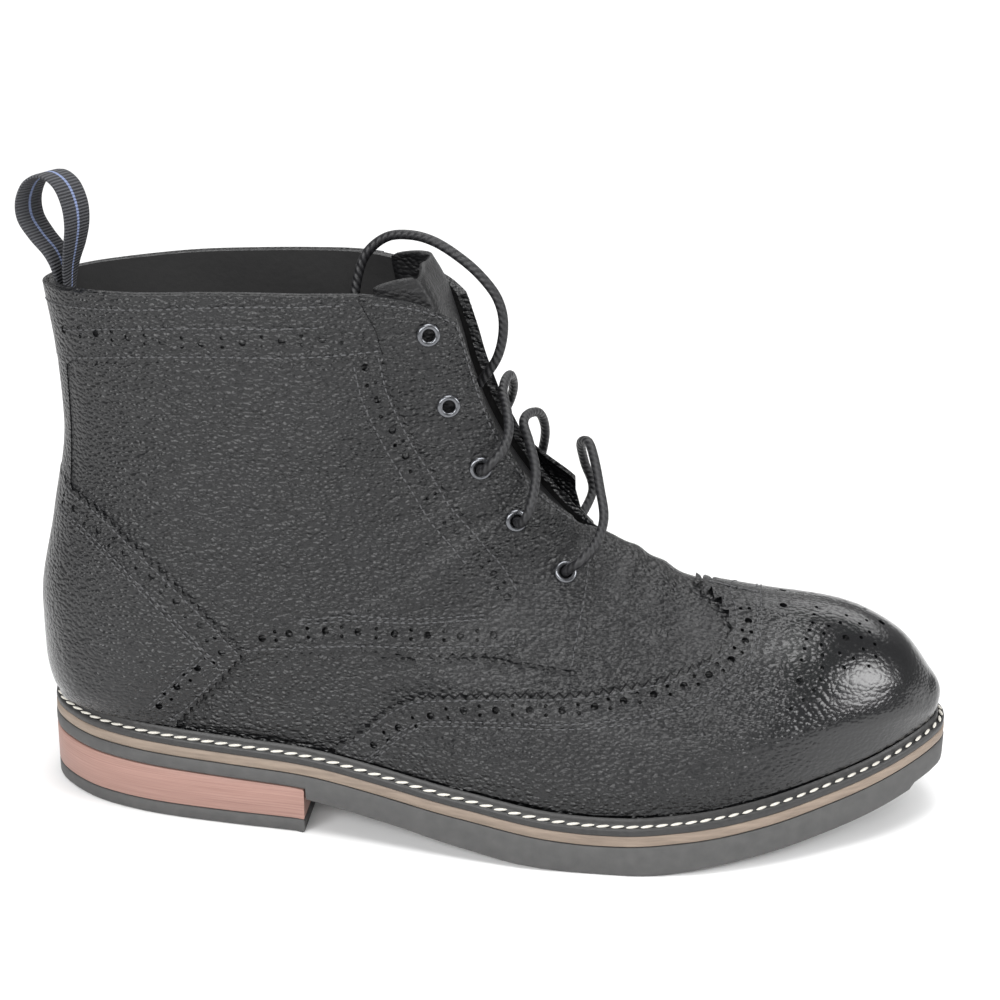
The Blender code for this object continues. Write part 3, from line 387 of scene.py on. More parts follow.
def feather_y(x, side):
    """Edge of the upper where it meets the welt."""
    half = FEATHER[FEATHER[:, 1] * side > 0]
    half = half[np.argsort(half[:, 0])]
    back, front = FEATHER[FEATHER[:, 0].argmin()], FEATHER[FEATHER[:, 0].argmax()]
    xs = np.r_[back[0], half[:, 0], front[0]]
    return np.interp(x, xs, np.r_[back[1], half[:, 1], front[1]])


# the upper's own face
LEVELS = np.array([0, 0.10, 0.35, 0.65, 0.90, 1.0])
KNOTS = np.arccos(1 - 2 * LEVELS) / np.pi
ROWS = np.array([SECTIONS[name] for name in NAMES], float)


def station_positions():
    b = ROWS[:, :2] * [SOLE_LENGTH, BOOT_HEIGHT]
    t = ROWS[:, 2:4] * [SOLE_LENGTH, BOOT_HEIGHT]
    step = (np.hypot(*np.diff(b, axis=0).T) + np.hypot(*np.diff(t, axis=0).T)) / 2
    far = np.r_[0, np.cumsum(step)]
    return far / far[-1]


STATIONS = station_positions()
STATION = dict(zip(NAMES, STATIONS))
TABLE_U = np.linspace(0, 1, 801)
TABLE_T = np.linspace(0, 1, 241)


def along(u, field):
    return smooth(u, STATIONS, ROWS[:, COLUMNS.index(field)])


def face_table(side):
    """The outer face on a dense grid of u, from toe to collar, and tau, from below to the ridge."""
    u, tau = TABLE_U[:, None], TABLE_T[None, :]
    share = 0.5 * (1 - np.cos(np.pi * tau))
    bx, tx = along(u, "bx") * SOLE_LENGTH, along(u, "tx") * SOLE_LENGTH
    bz, tz = along(u, "bz") * BOOT_HEIGHT, along(u, "tz") * BOOT_HEIGHT
    bz = np.where(u < STATION["seat_back"], seat_z(bx) + FEATHER_RISE, bz)
    bow = smooth(share, column(BOW, 0), column(BOW, 1)) * along(u, "bow") * COLLAR_BOW
    ridge = along(u, "ridge") * BALL_WIDTH
    wide = np.abs(feather_y(np.maximum(bx, HEEL_FULL * SOLE_LENGTH), side) - ridge)
    foot = np.abs(feather_y(bx, side) - ridge) / wide
    foot = np.where(u >= STATION["seat_back"], 0, foot)
    key = "l" if side < 0 else "m"
    rows = [foot] + [along(u, key + k) for k in ("10", "35", "65", "90")]
    rows.append(along(u, "edge") * BALL_WIDTH / wide)
    rows = np.hstack(rows)
    y = np.array([smooth(TABLE_T, KNOTS, row) for row in rows])
    x = bx + (tx - bx) * share
    z = bz + (tz - bz) * share + bow
    return np.stack([x, ridge + side * y * wide, z], -1)


def face_normals(table, side):
    du = np.gradient(table, axis=0)
    dt = np.gradient(table, axis=1)
    n = np.cross(du, dt) * side
    n /= np.linalg.norm(n, axis=-1, keepdims=True) + 1e-15
    n[0] = n[3]
    middle = n[len(TABLE_U) // 2, len(TABLE_T) // 2]
    return n if middle[1] * side > 0 else -n


FACE = {side: face_table(side) for side in (-1, 1)}
FACE_NORMAL = {side: face_normals(FACE[side], side) for side in (-1, 1)}


def pick(table, u, tau):
    """Bilinear value of a table at u and tau."""
    a = np.clip(np.asarray(u, float), 0, 1) * (len(TABLE_U) - 1)
    b = np.clip(np.asarray(tau, float), 0, 1) * (len(TABLE_T) - 1)
    i = np.minimum(a.astype(int), len(TABLE_U) - 2)
    j = np.minimum(b.astype(int), len(TABLE_T) - 2)
    s, t = (a - i)[..., None], (b - j)[..., None]
    return (
        table[i, j] * (1 - s) * (1 - t) + table[i + 1, j] * s * (1 - t)
        + table[i, j + 1] * (1 - s) * t + table[i + 1, j + 1] * s * t
    )


def find_place(xz):
    """u and tau of the surface at side-view points."""
    xz = np.asarray(xz, float)
    grid = FACE[-1][::2, ::2][..., [0, 2]].reshape(-1, 2)
    us, ts = np.meshgrid(TABLE_U[::2], TABLE_T[::2], indexing="ij")
    near = np.array([np.argmin(((grid - p) ** 2).sum(1)) for p in xz])
    u, tau = us.reshape(-1)[near], ts.reshape(-1)[near]
    e = 1e-3
    for _ in range(4):
        here = pick(FACE[-1], u, tau)[:, [0, 2]]
        gu = (pick(FACE[-1], u + e, tau) - pick(FACE[-1], u - e, tau))[:, [0, 2]] / (2 * e)
        gt = (pick(FACE[-1], u, tau + e) - pick(FACE[-1], u, tau - e))[:, [0, 2]] / (2 * e)
        det = gu[:, 0] * gt[:, 1] - gu[:, 1] * gt[:, 0]
        det = np.where(abs(det) < 1e-9, 1e-9, det)
        d = xz - here
        step_u = (d[:, 0] * gt[:, 1] - d[:, 1] * gt[:, 0]) / det
        step_t = (gu[:, 0] * d[:, 1] - gu[:, 1] * d[:, 0]) / det
        u = np.clip(u + np.clip(step_u, -0.02, 0.02), 0, 1)
        tau = np.clip(tau + np.clip(step_t, -0.05, 0.05), 0, 1)
    return u, tau


def crease_depth(points, side):
    """How far the leather is moved out at points: soft troughs, ridges and a slow unevenness."""
    x, z = points[:, 0] / MM, points[:, 2] / MM
    out = np.zeros(len(points))
    for which, x0, z0, x1, z1, width, depth in CREASES:
        length = np.hypot(x1 - x0, z1 - z0)
        ax, az = (x1 - x0) / length, (z1 - z0) / length
        run = (x - x0) * ax + (z - z0) * az
        off = -(x - x0) * az + (z - z0) * ax + 1.2 * np.sin(run * 0.22)
        fade = np.exp(-np.maximum(0, np.maximum(-run, run - length)) ** 2 / (2 * width**2))
        on = 1.0 if which == 0 else (side == which)
        out -= on * depth * MM * fade * np.exp(-off**2 / (2 * (width * 0.55) ** 2))
    slow = np.sin(x * 0.11 + 1.3 * np.sin(z * 0.07)) * np.sin(z * 0.13 + 0.8 * np.sin(x * 0.05))
    calm = np.clip((240 - x) / 60, 0, 1) * np.clip((x - 10) / 30, 0, 1)
    return out * np.clip((z - 24) / 10, 0, 1) + 0.16 * MM * slow * calm


def flare_lift(u, tau, side):
    """How far the medial facing stands off at its lower front end."""
    near = np.clip((tau - FLARE_FROM) / (1 - FLARE_FROM), 0, 1) ** 1.5
    return FLARE * near * smooth(u, FLARE_SPAN, [0, 1, 1, 0]) * (side > 0)


# meshes
def finish_piece(obj, mats, nodes=()):
    """Gives a finished piece its materials and its body, and hides the solids that it stands for."""
    obj.data.materials.clear()
    for mat in mats if isinstance(mats, (list, tuple)) else [mats]:
        obj.data.materials.append(mat)
    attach(obj, "root")
    if nodes:
        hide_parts(*nodes)
    return obj


def make_object(name, verts, faces, sharp=40):
    """A mesh object in the shared frame from points in the design frame."""
    mesh = bpy.data.meshes.new(name)
    mesh.from_pydata((np.asarray(verts, float) + SHIFT).tolist(), [], faces)
    mesh.update()
    mesh.shade_smooth()
    if sharp:
        mesh.set_sharp_from_angle(angle=np.radians(sharp))
    obj = bpy.data.objects.new(name, mesh)
    bpy.context.scene.collection.objects.link(obj)
    return obj


def patch(first, last, t_low=0.0, t_high=1.0, sides=(-1, 1), step=MESH_STEP, skirt=False):
    """A patch of the upper's face: points, quads, side of each point, u and tau."""
    u0, u1 = STATION[first], STATION[last]
    nu = max(6, int((u1 - u0) * 0.40 / step))
    nt = max(6, int((t_high - t_low) * 0.14 / step))
    us, ts = np.linspace(u0, u1, nu + 1), np.linspace(t_low, t_high, nt + 1)
    points, key_of, rows = [], {}, []

    def add(key, point, u, tau, side):
        if key not in key_of:
            key_of[key] = len(points)
            points.append(point)
            rows.append((u, tau, side))
        return key_of[key]

    faces = []
    for side in sides:
        uu, tt = np.meshgrid(us, ts, indexing="ij")
        xyz = pick(FACE[side], uu, tt)
        index = np.zeros((nu + 1, nt + 1), int)
        for i in range(nu + 1):
            for j in range(nt + 1):
                ridge = j == nt and t_high == 1.0 and us[i] <= STATION["instep"]
                seam = j == 0 and t_low == 0.0 and us[i] >= STATION["seat_back"]
                tip = us[i] == 0
                key = (0, 0, 0) if tip else (i, 0 if ridge or seam else side, j)
                index[i, j] = add(key, xyz[i, j], us[i], ts[j], side)
        grid = [index[:, j] for j in range(nt + 1)]
        if skirt:
            low = []
            for i in range(nu + 1):
                if us[i] > STATION["seat_back"]:
                    low.append(index[i, 0])
                    continue
                x, y, _ = points[index[i, 0]]
                z = float(seat_z(x)) + MIDSOLE_THICKNESS + 0.0006
                key = ("skirt", 0 if us[i] == 0 else side, 0 if us[i] == 0 else i)
                low.append(add(key, np.array([x, y, z]), us[i], 0.0, side))
            grid = [np.array(low)] + grid
        grid = np.stack(grid, 1)
        for i in range(nu):
            for j in range(grid.shape[1] - 1):
                quad = [grid[i, j], grid[i + 1, j], grid[i + 1, j + 1], grid[i, j + 1]]
                if side < 0:
                    quad = quad[::-1]
                loop = [int(v) for k, v in enumerate(quad) if v != quad[k - 1]]
                if len(set(loop)) >= 3:
                    faces.append(loop)
    rows = np.array(rows)
    return np.array(points), faces, rows


def slab(name, data, inner, outer, lift=None):
    """A sheet of leather with both faces and a rim, from a patch."""
    points, faces, rows = data
    scratch = bpy.data.meshes.new("scratch")
    scratch.from_pydata(points.tolist(), [], faces)
    scratch.update()
    normals = np.zeros(len(points) * 3)
    scratch.vertex_normals.foreach_get("vector", normals)
    normals = normals.reshape(-1, 3)
    bpy.data.meshes.remove(scratch)
    move = np.zeros(len(points))
    for side in (-1, 1):
        on = rows[:, 2] == side
        move[on] = crease_depth(points[on], side)
    if lift is not None:
        move = move + lift(rows)
    n = len(points)
    verts = np.vstack([points + normals * (height + move)[:, None] for height in (outer, inner)])
    edges = {(f[k - 1], f[k]) for f in faces for k in range(len(f))}
    rim = [[b, a, a + n, b + n] for a, b in edges if (b, a) not in edges]
    backs = [[v + n for v in reversed(f)] for f in faces]
    return make_object(name, verts, faces + backs + rim, sharp=None)


def evaluated_mesh(obj):
    """Replaces an object's mesh with its evaluated one and clears its modifiers."""
    graph = bpy.context.evaluated_depsgraph_get()
    mesh = bpy.data.meshes.new_from_object(
        obj.evaluated_get(graph), preserve_all_data_layers=True, depsgraph=graph
    )
    obj.modifiers.clear()
    obj.data = mesh
    return obj


def carve(obj, cutter, operation):
    """Cuts an object with another and drops the cutter."""
    mod = obj.modifiers.new("carve", "BOOLEAN")
    mod.object = cutter
    mod.operation = operation
    mod.solver = "MANIFOLD"
    evaluated_mesh(obj)
    bpy.data.objects.remove(cutter, do_unlink=True)
    obj.data.shade_smooth()
    obj.data.set_sharp_from_angle(angle=np.radians(50))
    return obj


def resample(line, step):
    """Even points on an open side-view line, mm."""
    line = np.asarray(line, float)
    far = np.r_[0, np.cumsum(np.hypot(*np.diff(line, axis=0).T))]
    at = np.linspace(0, far[-1], max(2, int(round(far[-1] / step)) + 1))
    return np.stack([np.interp(at, far, line[:, 0]), np.interp(at, far, line[:, 1])], 1)


def rounded(line, count=8):
    """A smooth curve through an open line."""
    pts = np.asarray(line, float)
    ends = np.vstack([2 * pts[0] - pts[1], pts, 2 * pts[-1] - pts[-2]])
    out = []
    for i in range(1, len(ends) - 2):
        p0, p1, p2, p3 = ends[i - 1 : i + 3]
        for s in np.linspace(0, 1, count, endpoint=False):
            out.append(0.5 * (2 * p1 + (p2 - p0) * s + (2 * p0 - 5 * p1 + 4 * p2 - p3) * s**2
                              + (3 * p1 - p0 - 3 * p2 + p3) * s**3))
    out.append(pts[-1])
    return np.array(out)


def beside(line, distance):
    """A line moved to its left by distance."""
    line = np.asarray(line, float)
    ahead = np.gradient(line, axis=0)
    ahead /= np.hypot(*ahead.T)[:, None] + 1e-9
    return line + distance * np.stack([-ahead[:, 1], ahead[:, 0]], 1)


def pinked(line):
    """A line with the small teeth of a pinked edge."""
    line = resample(line, PINK_PITCH / 2 / MM)
    teeth = beside(line, PINK_DEPTH / 2 / MM)
    other = beside(line, -PINK_DEPTH / 2 / MM)
    return np.where((np.arange(len(line)) % 2 == 0)[:, None], teeth, other)


def prism(name, outline):
    """A side-view outline drawn through the whole boot."""
    n = len(outline)
    verts = [(x * MM, side * BALL_WIDTH, z * MM) for side in (-1, 1) for x, z in outline]
    area = sum(outline[k - 1][0] * outline[k][1] - outline[k][0] * outline[k - 1][1] for k in range(n))
    faces = [list(range(n)), list(range(2 * n - 1, n - 1, -1))]
    faces += [[(k + 1) % n, k, k + n, (k + 1) % n + n] for k in range(n)]
    if area < 0:
        faces = [f[::-1] for f in faces]
    return make_object(name, verts, faces, sharp=None)


# repeated items, by geometry nodes
def repeat_tree(name, kind):
    """A node tree that puts one small shape on every point: stitches, or the cutters for holes."""
    tree = bpy.data.node_groups.new(name, "GeometryNodeTree")
    tree.is_modifier = True
    tree.interface.new_socket("Points", in_out="INPUT", socket_type="NodeSocketGeometry")
    tree.interface.new_socket("Sides", in_out="INPUT", socket_type="NodeSocketInt")
    tree.interface.new_socket("Finish", in_out="INPUT", socket_type="NodeSocketMaterial")
    tree.interface.new_socket("Geometry", in_out="OUTPUT", socket_type="NodeSocketGeometry")
    nodes, links = tree.nodes, tree.links
    start, end = nodes.new("NodeGroupInput"), nodes.new("NodeGroupOutput")
    if kind == "cutter":
        shape = nodes.new("GeometryNodeMeshCylinder")
        shape.inputs["Radius"].default_value = 1.0
        shape.inputs["Depth"].default_value = 1.0
        links.new(start.outputs["Sides"], shape.inputs["Vertices"])
    else:
        shape = nodes.new("GeometryNodeMeshUVSphere")
        shape.inputs["Rings"].default_value = 6
        shape.inputs["Radius"].default_value = 1.0
        links.new(start.outputs["Sides"], shape.inputs["Segments"])
    turn = nodes.new("GeometryNodeInputNamedAttribute")
    turn.data_type = "QUATERNION"
    turn.inputs["Name"].default_value = "turn"
    size = nodes.new("GeometryNodeInputNamedAttribute")
    size.data_type = "FLOAT_VECTOR"
    size.inputs["Name"].default_value = "size"
    place = nodes.new("GeometryNodeInstanceOnPoints")
    real = nodes.new("GeometryNodeRealizeInstances")
    paint = nodes.new("GeometryNodeSetMaterial")
    links.new(start.outputs["Points"], place.inputs["Points"])
    links.new(shape.outputs["Mesh"], place.inputs["Instance"])
    links.new(turn.outputs["Attribute"], place.inputs["Rotation"])
    links.new(size.outputs["Attribute"], place.inputs["Scale"])
    links.new(place.outputs["Instances"], real.inputs["Geometry"])
    links.new(real.outputs["Geometry"], paint.inputs["Geometry"])
    links.new(start.outputs["Finish"], paint.inputs["Material"])
    links.new(paint.outputs["Geometry"], end.inputs["Geometry"])
    return tree


TREES = {kind: repeat_tree("repeat_" + kind, kind) for kind in ("cutter", "stitch")}


def repeated(name, kind, places, sides, finish=None):
    """Builds the repeated shapes at places: point, normal, direction along, and size."""
    mesh = bpy.data.meshes.new(name)
    mesh.from_pydata([tuple(np.asarray(p[0]) + SHIFT) for p in places], [], [])
    mesh.attributes.new("turn", "QUATERNION", "POINT")
    mesh.attributes.new("size", "FLOAT_VECTOR", "POINT")
    turn, size = mesh.attributes["turn"], mesh.attributes["size"]
    for k, (_, normal, ahead, scale) in enumerate(places):
        up = Vector(normal).normalized()
        run = Vector(ahead) - up * Vector(ahead).dot(up)
        run.normalize()
        across = up.cross(run)
        turn.data[k].value = Matrix((run, across, up)).transposed().to_quaternion()
        size.data[k].vector = scale
    obj = bpy.data.objects.new(name, mesh)
    bpy.context.scene.collection.objects.link(obj)
    mod = obj.modifiers.new("repeat", "NODES")
    mod.node_group = TREES[kind]
    for item in TREES[kind].interface.items_tree:
        if item.item_type == "SOCKET" and item.in_out == "INPUT":
            if item.name == "Sides":
                mod[item.identifier] = sides
            if item.name == "Finish" and finish:
                mod[item.identifier] = finish
    return evaluated_mesh(obj)


def on_face(xz, side, lift):
    """Points, normals and directions along a side-view line on the leather's face."""
    u, tau = find_place(np.asarray(xz, float) * MM)
    point, normal = pick(FACE[side], u, tau), pick(FACE_NORMAL[side], u, tau)
    normal /= np.linalg.norm(normal, axis=1, keepdims=True)
    point = point + normal * (lift + crease_depth(point, side))[:, None]
    ahead = np.gradient(point, axis=0) if len(point) > 1 else np.array([[1.0, 0, 0]])
    return point, normal, ahead


STITCHES = []
HOLES = {"wing_cap": [], "heel_counter": [], "collar_band": [], "quarter_lateral": [], "quarter_medial": []}


def sew(line, lift, sides=(-1, 1)):
    """A row of stitches along a side-view line."""
    fine = resample(rounded(line, 5), 0.5)
    for side in sides:
        point, normal, _ = on_face(fine, side, lift)
        far = np.r_[0, np.cumsum(np.linalg.norm(np.diff(point, axis=0), axis=1))]
        pitch = STITCH_LENGTH + STITCH_GAP
        at = np.arange(pitch / 2, far[-1], pitch)
        at_point = np.stack([np.interp(at, far, point[:, k]) for k in range(3)], 1)
        at_normal = np.stack([np.interp(at, far, normal[:, k]) for k in range(3)], 1)
        ahead = np.stack([np.interp(at + 4e-4, far, point[:, k]) for k in range(3)], 1) - at_point
        for p, n, a in zip(at_point, at_normal, ahead):
            if np.linalg.norm(a) > 1e-6:
                STITCHES.append((p, n, a, (STITCH_LENGTH / 2, STITCH_RADIUS, STITCH_RADIUS)))


def sew_grid(us, taus, lift, sides=(-1, 1)):
    """A row of stitches along a line given in the upper's own u and tau."""
    for side in sides:
        point, normal = pick(FACE[side], us, taus), pick(FACE_NORMAL[side], us, taus)
        point = point + normal * (lift + crease_depth(point, side) + flare_lift(us, taus, side))[:, None]
        far = np.r_[0, np.cumsum(np.linalg.norm(np.diff(point, axis=0), axis=1))]
        for want in np.arange(0.001, far[-1], STITCH_LENGTH + STITCH_GAP):
            k = min(int(np.searchsorted(far, want)), len(us) - 2)
            STITCHES.append((point[k], normal[k], point[k + 1] - point[k],
                             (STITCH_LENGTH / 2, STITCH_RADIUS, STITCH_RADIUS)))


def punch(line, lift, nodes):
    """Large holes on a line, with a pair of small ones between each two."""
    line = np.asarray(line, float)
    for side, node in nodes:
        point, normal, ahead = on_face(line, side, lift)
        for p, n, a in zip(point, normal, ahead):
            HOLES[node].append((p, n, a, (BIG_HOLE, BIG_HOLE, HOLE_DEPTH)))
        middle = (line[:-1] + line[1:]) / 2
        point, normal, ahead = on_face(middle, side, lift)
        for p, n, a in zip(point, normal, ahead):
            across = np.cross(n, a)
            across /= np.linalg.norm(across) + 1e-12
            for way in (-1, 1):
                spot = p + across * way * PAIR_SPACING
                HOLES[node].append((spot, n, a, (SMALL_HOLE, SMALL_HOLE, HOLE_DEPTH)))


def cut_holes(obj, node):
    if HOLES[node]:
        carve(obj, repeated("holes_" + node, "cutter", HOLES[node], HOLE_SIDES), "DIFFERENCE")
    return obj


# materials
def new_node(tree, kind, **values):
    """A shader node with its inputs set by name."""
    node = tree.nodes.new(kind)
    for name, value in values.items():
        socket = node.inputs[name.replace("_", " ")]
        socket.default_value = value
    return node


def grain_group():
    """Pebbled leather: cell height, slow tone and how polished the place is, from object coordinates."""
    tree = bpy.data.node_groups.new("leather_grain", "ShaderNodeTree")
    for name, value in (("Cells", 720.0), ("Toe from", 0.070), ("Heel to", -0.100)):
        tree.interface.new_socket(name, in_out="INPUT", socket_type="NodeSocketFloat").default_value = value
    for name in ("Height", "Tone", "Polish"):
        tree.interface.new_socket(name, in_out="OUTPUT", socket_type="NodeSocketFloat")
    links = tree.links
    start, end = tree.nodes.new("NodeGroupInput"), tree.nodes.new("NodeGroupOutput")
    place = tree.nodes.new("ShaderNodeTexCoord")
    warp = new_node(tree, "ShaderNodeTexNoise", Scale=260.0, Detail=2.0)
    links.new(place.outputs["Object"], warp.inputs["Vector"])
    shift = tree.nodes.new("ShaderNodeVectorMath")
    shift.operation = "MULTIPLY_ADD"
    shift.inputs[1].default_value = (0.0016, 0.0016, 0.0016)
    links.new(warp.outputs["Color"], shift.inputs[0])
    links.new(place.outputs["Object"], shift.inputs[2])
    longer = tree.nodes.new("ShaderNodeVectorMath")
    longer.operation = "MULTIPLY"
    longer.inputs[1].default_value = (0.70, 0.90, 1.20)
    links.new(shift.outputs["Vector"], longer.inputs[0])
    cells = tree.nodes.new("ShaderNodeTexVoronoi")
    cells.feature = "SMOOTH_F1"
    cells.inputs["Smoothness"].default_value = 0.25
    links.new(longer.outputs["Vector"], cells.inputs["Vector"])
    links.new(start.outputs["Cells"], cells.inputs["Scale"])
    dome = tree.nodes.new("ShaderNodeMapRange")
    for name, value in (("From Min", 0.0), ("From Max", 0.9), ("To Min", 1.0), ("To Max", 0.0)):
        dome.inputs[name].default_value = value
    links.new(cells.outputs["Distance"], dome.inputs["Value"])
    fine = new_node(tree, "ShaderNodeTexNoise", Scale=2600.0, Detail=3.0)
    links.new(place.outputs["Object"], fine.inputs["Vector"])
    height = tree.nodes.new("ShaderNodeMath")
    height.operation = "MULTIPLY_ADD"
    height.inputs[1].default_value = 0.10
    links.new(fine.outputs["Fac"], height.inputs[0])
    links.new(dome.outputs["Result"], height.inputs[2])
    slow = new_node(tree, "ShaderNodeTexNoise", Scale=38.0, Detail=4.0)
    links.new(place.outputs["Object"], slow.inputs["Vector"])
    axes = tree.nodes.new("ShaderNodeSeparateXYZ")
    links.new(place.outputs["Object"], axes.inputs["Vector"])
    toe = tree.nodes.new("ShaderNodeMapRange")
    toe.interpolation_type = "SMOOTHSTEP"
    toe_end = tree.nodes.new("ShaderNodeMath")
    toe_end.inputs[1].default_value = 0.062
    links.new(start.outputs["Toe from"], toe_end.inputs[0])
    links.new(axes.outputs["X"], toe.inputs["Value"])
    links.new(start.outputs["Toe from"], toe.inputs["From Min"])
    links.new(toe_end.outputs["Value"], toe.inputs["From Max"])
    heel = tree.nodes.new("ShaderNodeMapRange")
    heel.interpolation_type = "SMOOTHSTEP"
    heel_end = tree.nodes.new("ShaderNodeMath")
    heel_end.inputs[1].default_value = -0.045
    links.new(start.outputs["Heel to"], heel_end.inputs[0])
    links.new(axes.outputs["X"], heel.inputs["Value"])
    links.new(start.outputs["Heel to"], heel.inputs["From Min"])
    links.new(heel_end.outputs["Value"], heel.inputs["From Max"])
    low = tree.nodes.new("ShaderNodeMapRange")
    for name, value in (("From Min", 0.045), ("From Max", 0.090), ("To Min", 0.75), ("To Max", 0.0)):
        low.inputs[name].default_value = value
    links.new(axes.outputs["Z"], low.inputs["Value"])
    heel_low = tree.nodes.new("ShaderNodeMath")
    heel_low.operation = "MULTIPLY"
    links.new(heel.outputs["Result"], heel_low.inputs[0])
    links.new(low.outputs["Result"], heel_low.inputs[1])
    polish = tree.nodes.new("ShaderNodeMath")
    polish.operation = "MAXIMUM"
    links.new(toe.outputs["Result"], polish.inputs[0])
    links.new(heel_low.outputs["Value"], polish.inputs[1])
    links.new(height.outputs["Value"], end.inputs["Height"])
    links.new(slow.outputs["Fac"], end.inputs["Tone"])
    links.new(polish.outputs["Value"], end.inputs["Polish"])
    return tree


GRAIN = grain_group()


def blank(name):
    mat = bpy.data.materials.new(name)
    mat.use_nodes = True
    return mat, mat.node_tree, mat.node_tree.nodes["Principled BSDF"]


def mix_colour(tree, factor, first, second):
    mix = tree.nodes.new("ShaderNodeMix")
    mix.data_type = "RGBA"
    mix.inputs["A"].default_value = (*first, 1)
    mix.inputs["B"].default_value = (*second, 1)
    tree.links.new(factor, mix.inputs["Factor"])
    return mix.outputs["Result"]


def map_value(tree, value, to_min, to_max, from_min=0.0, from_max=1.0):
    node = tree.nodes.new("ShaderNodeMapRange")
    numbers = {"From Min": from_min, "From Max": from_max, "To Min": to_min, "To Max": to_max}
    for name, number in numbers.items():
        node.inputs[name].default_value = number
    tree.links.new(value, node.inputs["Value"])
    return node.outputs["Result"]


def leather(name, dark, light, rough, polished_rough, depth):
    """Pebbled leather that turns smoother and glossier towards the toe and the heel."""
    mat, tree, shader = blank(name)
    grain = tree.nodes.new("ShaderNodeGroup")
    grain.node_tree = GRAIN
    tree.links.new(mix_colour(tree, grain.outputs["Tone"], dark, light), shader.inputs["Base Color"])
    polished = map_value(tree, grain.outputs["Polish"], rough, polished_rough)
    tree.links.new(polished, shader.inputs["Roughness"])
    bump = tree.nodes.new("ShaderNodeBump")
    bump.inputs["Distance"].default_value = depth
    bump.inputs["Strength"].default_value = 1.0
    faded = tree.nodes.new("ShaderNodeMath")
    faded.operation = "MULTIPLY"
    tree.links.new(grain.outputs["Height"], faded.inputs[0])
    tree.links.new(map_value(tree, grain.outputs["Polish"], 1.0, 0.14), faded.inputs[1])
    tree.links.new(faded.outputs["Value"], bump.inputs["Height"])
    tree.links.new(bump.outputs["Normal"], shader.inputs["Normal"])
    tree.links.new(map_value(tree, grain.outputs["Polish"], 0.05, 0.35), shader.inputs["Coat Weight"])
    shader.inputs["Coat Roughness"].default_value = 0.22
    shader.inputs["Specular IOR Level"].default_value = 0.45
    return mat


def plain(name, dark, light, rough, scale=300.0, depth=0.0002, metal=0.0, stretch=(1, 1, 1)):
    """A finish with a slow change of tone and a fine bump."""
    mat, tree, shader = blank(name)
    place = tree.nodes.new("ShaderNodeTexCoord")
    turn = tree.nodes.new("ShaderNodeMapping")
    turn.inputs["Scale"].default_value = stretch
    noise = new_node(tree, "ShaderNodeTexNoise", Scale=scale, Detail=5.0)
    tree.links.new(place.outputs["Object"], turn.inputs["Vector"])
    tree.links.new(turn.outputs["Vector"], noise.inputs["Vector"])
    tree.links.new(mix_colour(tree, noise.outputs["Fac"], dark, light), shader.inputs["Base Color"])
    uneven = map_value(tree, noise.outputs["Fac"], rough * 0.85, min(1, rough * 1.15))
    tree.links.new(uneven, shader.inputs["Roughness"])
    shader.inputs["Metallic"].default_value = metal
    bump = tree.nodes.new("ShaderNodeBump")
    bump.inputs["Distance"].default_value = depth
    tree.links.new(noise.outputs["Fac"], bump.inputs["Height"])
    tree.links.new(bump.outputs["Normal"], shader.inputs["Normal"])
    return mat


def cord_finish():
    """Waxed cord: fine slanted strands along the piece's own UV map."""
    mat, tree, shader = blank("waxed_cord")
    uv = tree.nodes.new("ShaderNodeUVMap")
    uv.uv_map = "strand"
    wave = tree.nodes.new("ShaderNodeTexWave")
    wave.inputs["Scale"].default_value = 1.0
    wave.inputs["Distortion"].default_value = 0.4
    wave.bands_direction = "DIAGONAL"
    tree.links.new(uv.outputs["UV"], wave.inputs["Vector"])
    strands = mix_colour(tree, wave.outputs["Fac"], (0.004, 0.004, 0.005), (0.015, 0.015, 0.017))
    tree.links.new(strands, shader.inputs["Base Color"])
    shader.inputs["Roughness"].default_value = 0.5
    bump = tree.nodes.new("ShaderNodeBump")
    bump.inputs["Distance"].default_value = 0.0002
    tree.links.new(wave.outputs["Fac"], bump.inputs["Height"])
    tree.links.new(bump.outputs["Normal"], shader.inputs["Normal"])
    return mat


def webbing_finish():
    """Ribbed webbing with one pale stripe down the middle."""
    mat, tree, shader = blank("ribbed_webbing")
    uv = tree.nodes.new("ShaderNodeUVMap")
    uv.uv_map = "strand"
    axes = tree.nodes.new("ShaderNodeSeparateXYZ")
    tree.links.new(uv.outputs["UV"], axes.inputs["Vector"])
    middle = tree.nodes.new("ShaderNodeMath")
    middle.operation = "COMPARE"
    middle.inputs[1].default_value = 0.5
    middle.inputs[2].default_value = 0.045
    tree.links.new(axes.outputs["X"], middle.inputs[0])
    ribs = tree.nodes.new("ShaderNodeTexWave")
    ribs.bands_direction = "Y"
    ribs.inputs["Scale"].default_value = 1.0
    tree.links.new(uv.outputs["UV"], ribs.inputs["Vector"])
    cloth = mix_colour(tree, ribs.outputs["Fac"], (0.016, 0.017, 0.021), (0.075, 0.077, 0.085))
    stripe = tree.nodes.new("ShaderNodeMix")
    stripe.data_type = "RGBA"
    stripe.inputs["B"].default_value = (0.20, 0.25, 0.42, 1)
    tree.links.new(middle.outputs["Value"], stripe.inputs["Factor"])
    tree.links.new(cloth, stripe.inputs["A"])
    tree.links.new(stripe.outputs["Result"], shader.inputs["Base Color"])
    shader.inputs["Roughness"].default_value = 0.75
    bump = tree.nodes.new("ShaderNodeBump")
    bump.inputs["Distance"].default_value = 0.0003
    tree.links.new(ribs.outputs["Fac"], bump.inputs["Height"])
    tree.links.new(bump.outputs["Normal"], shader.inputs["Normal"])
    return mat


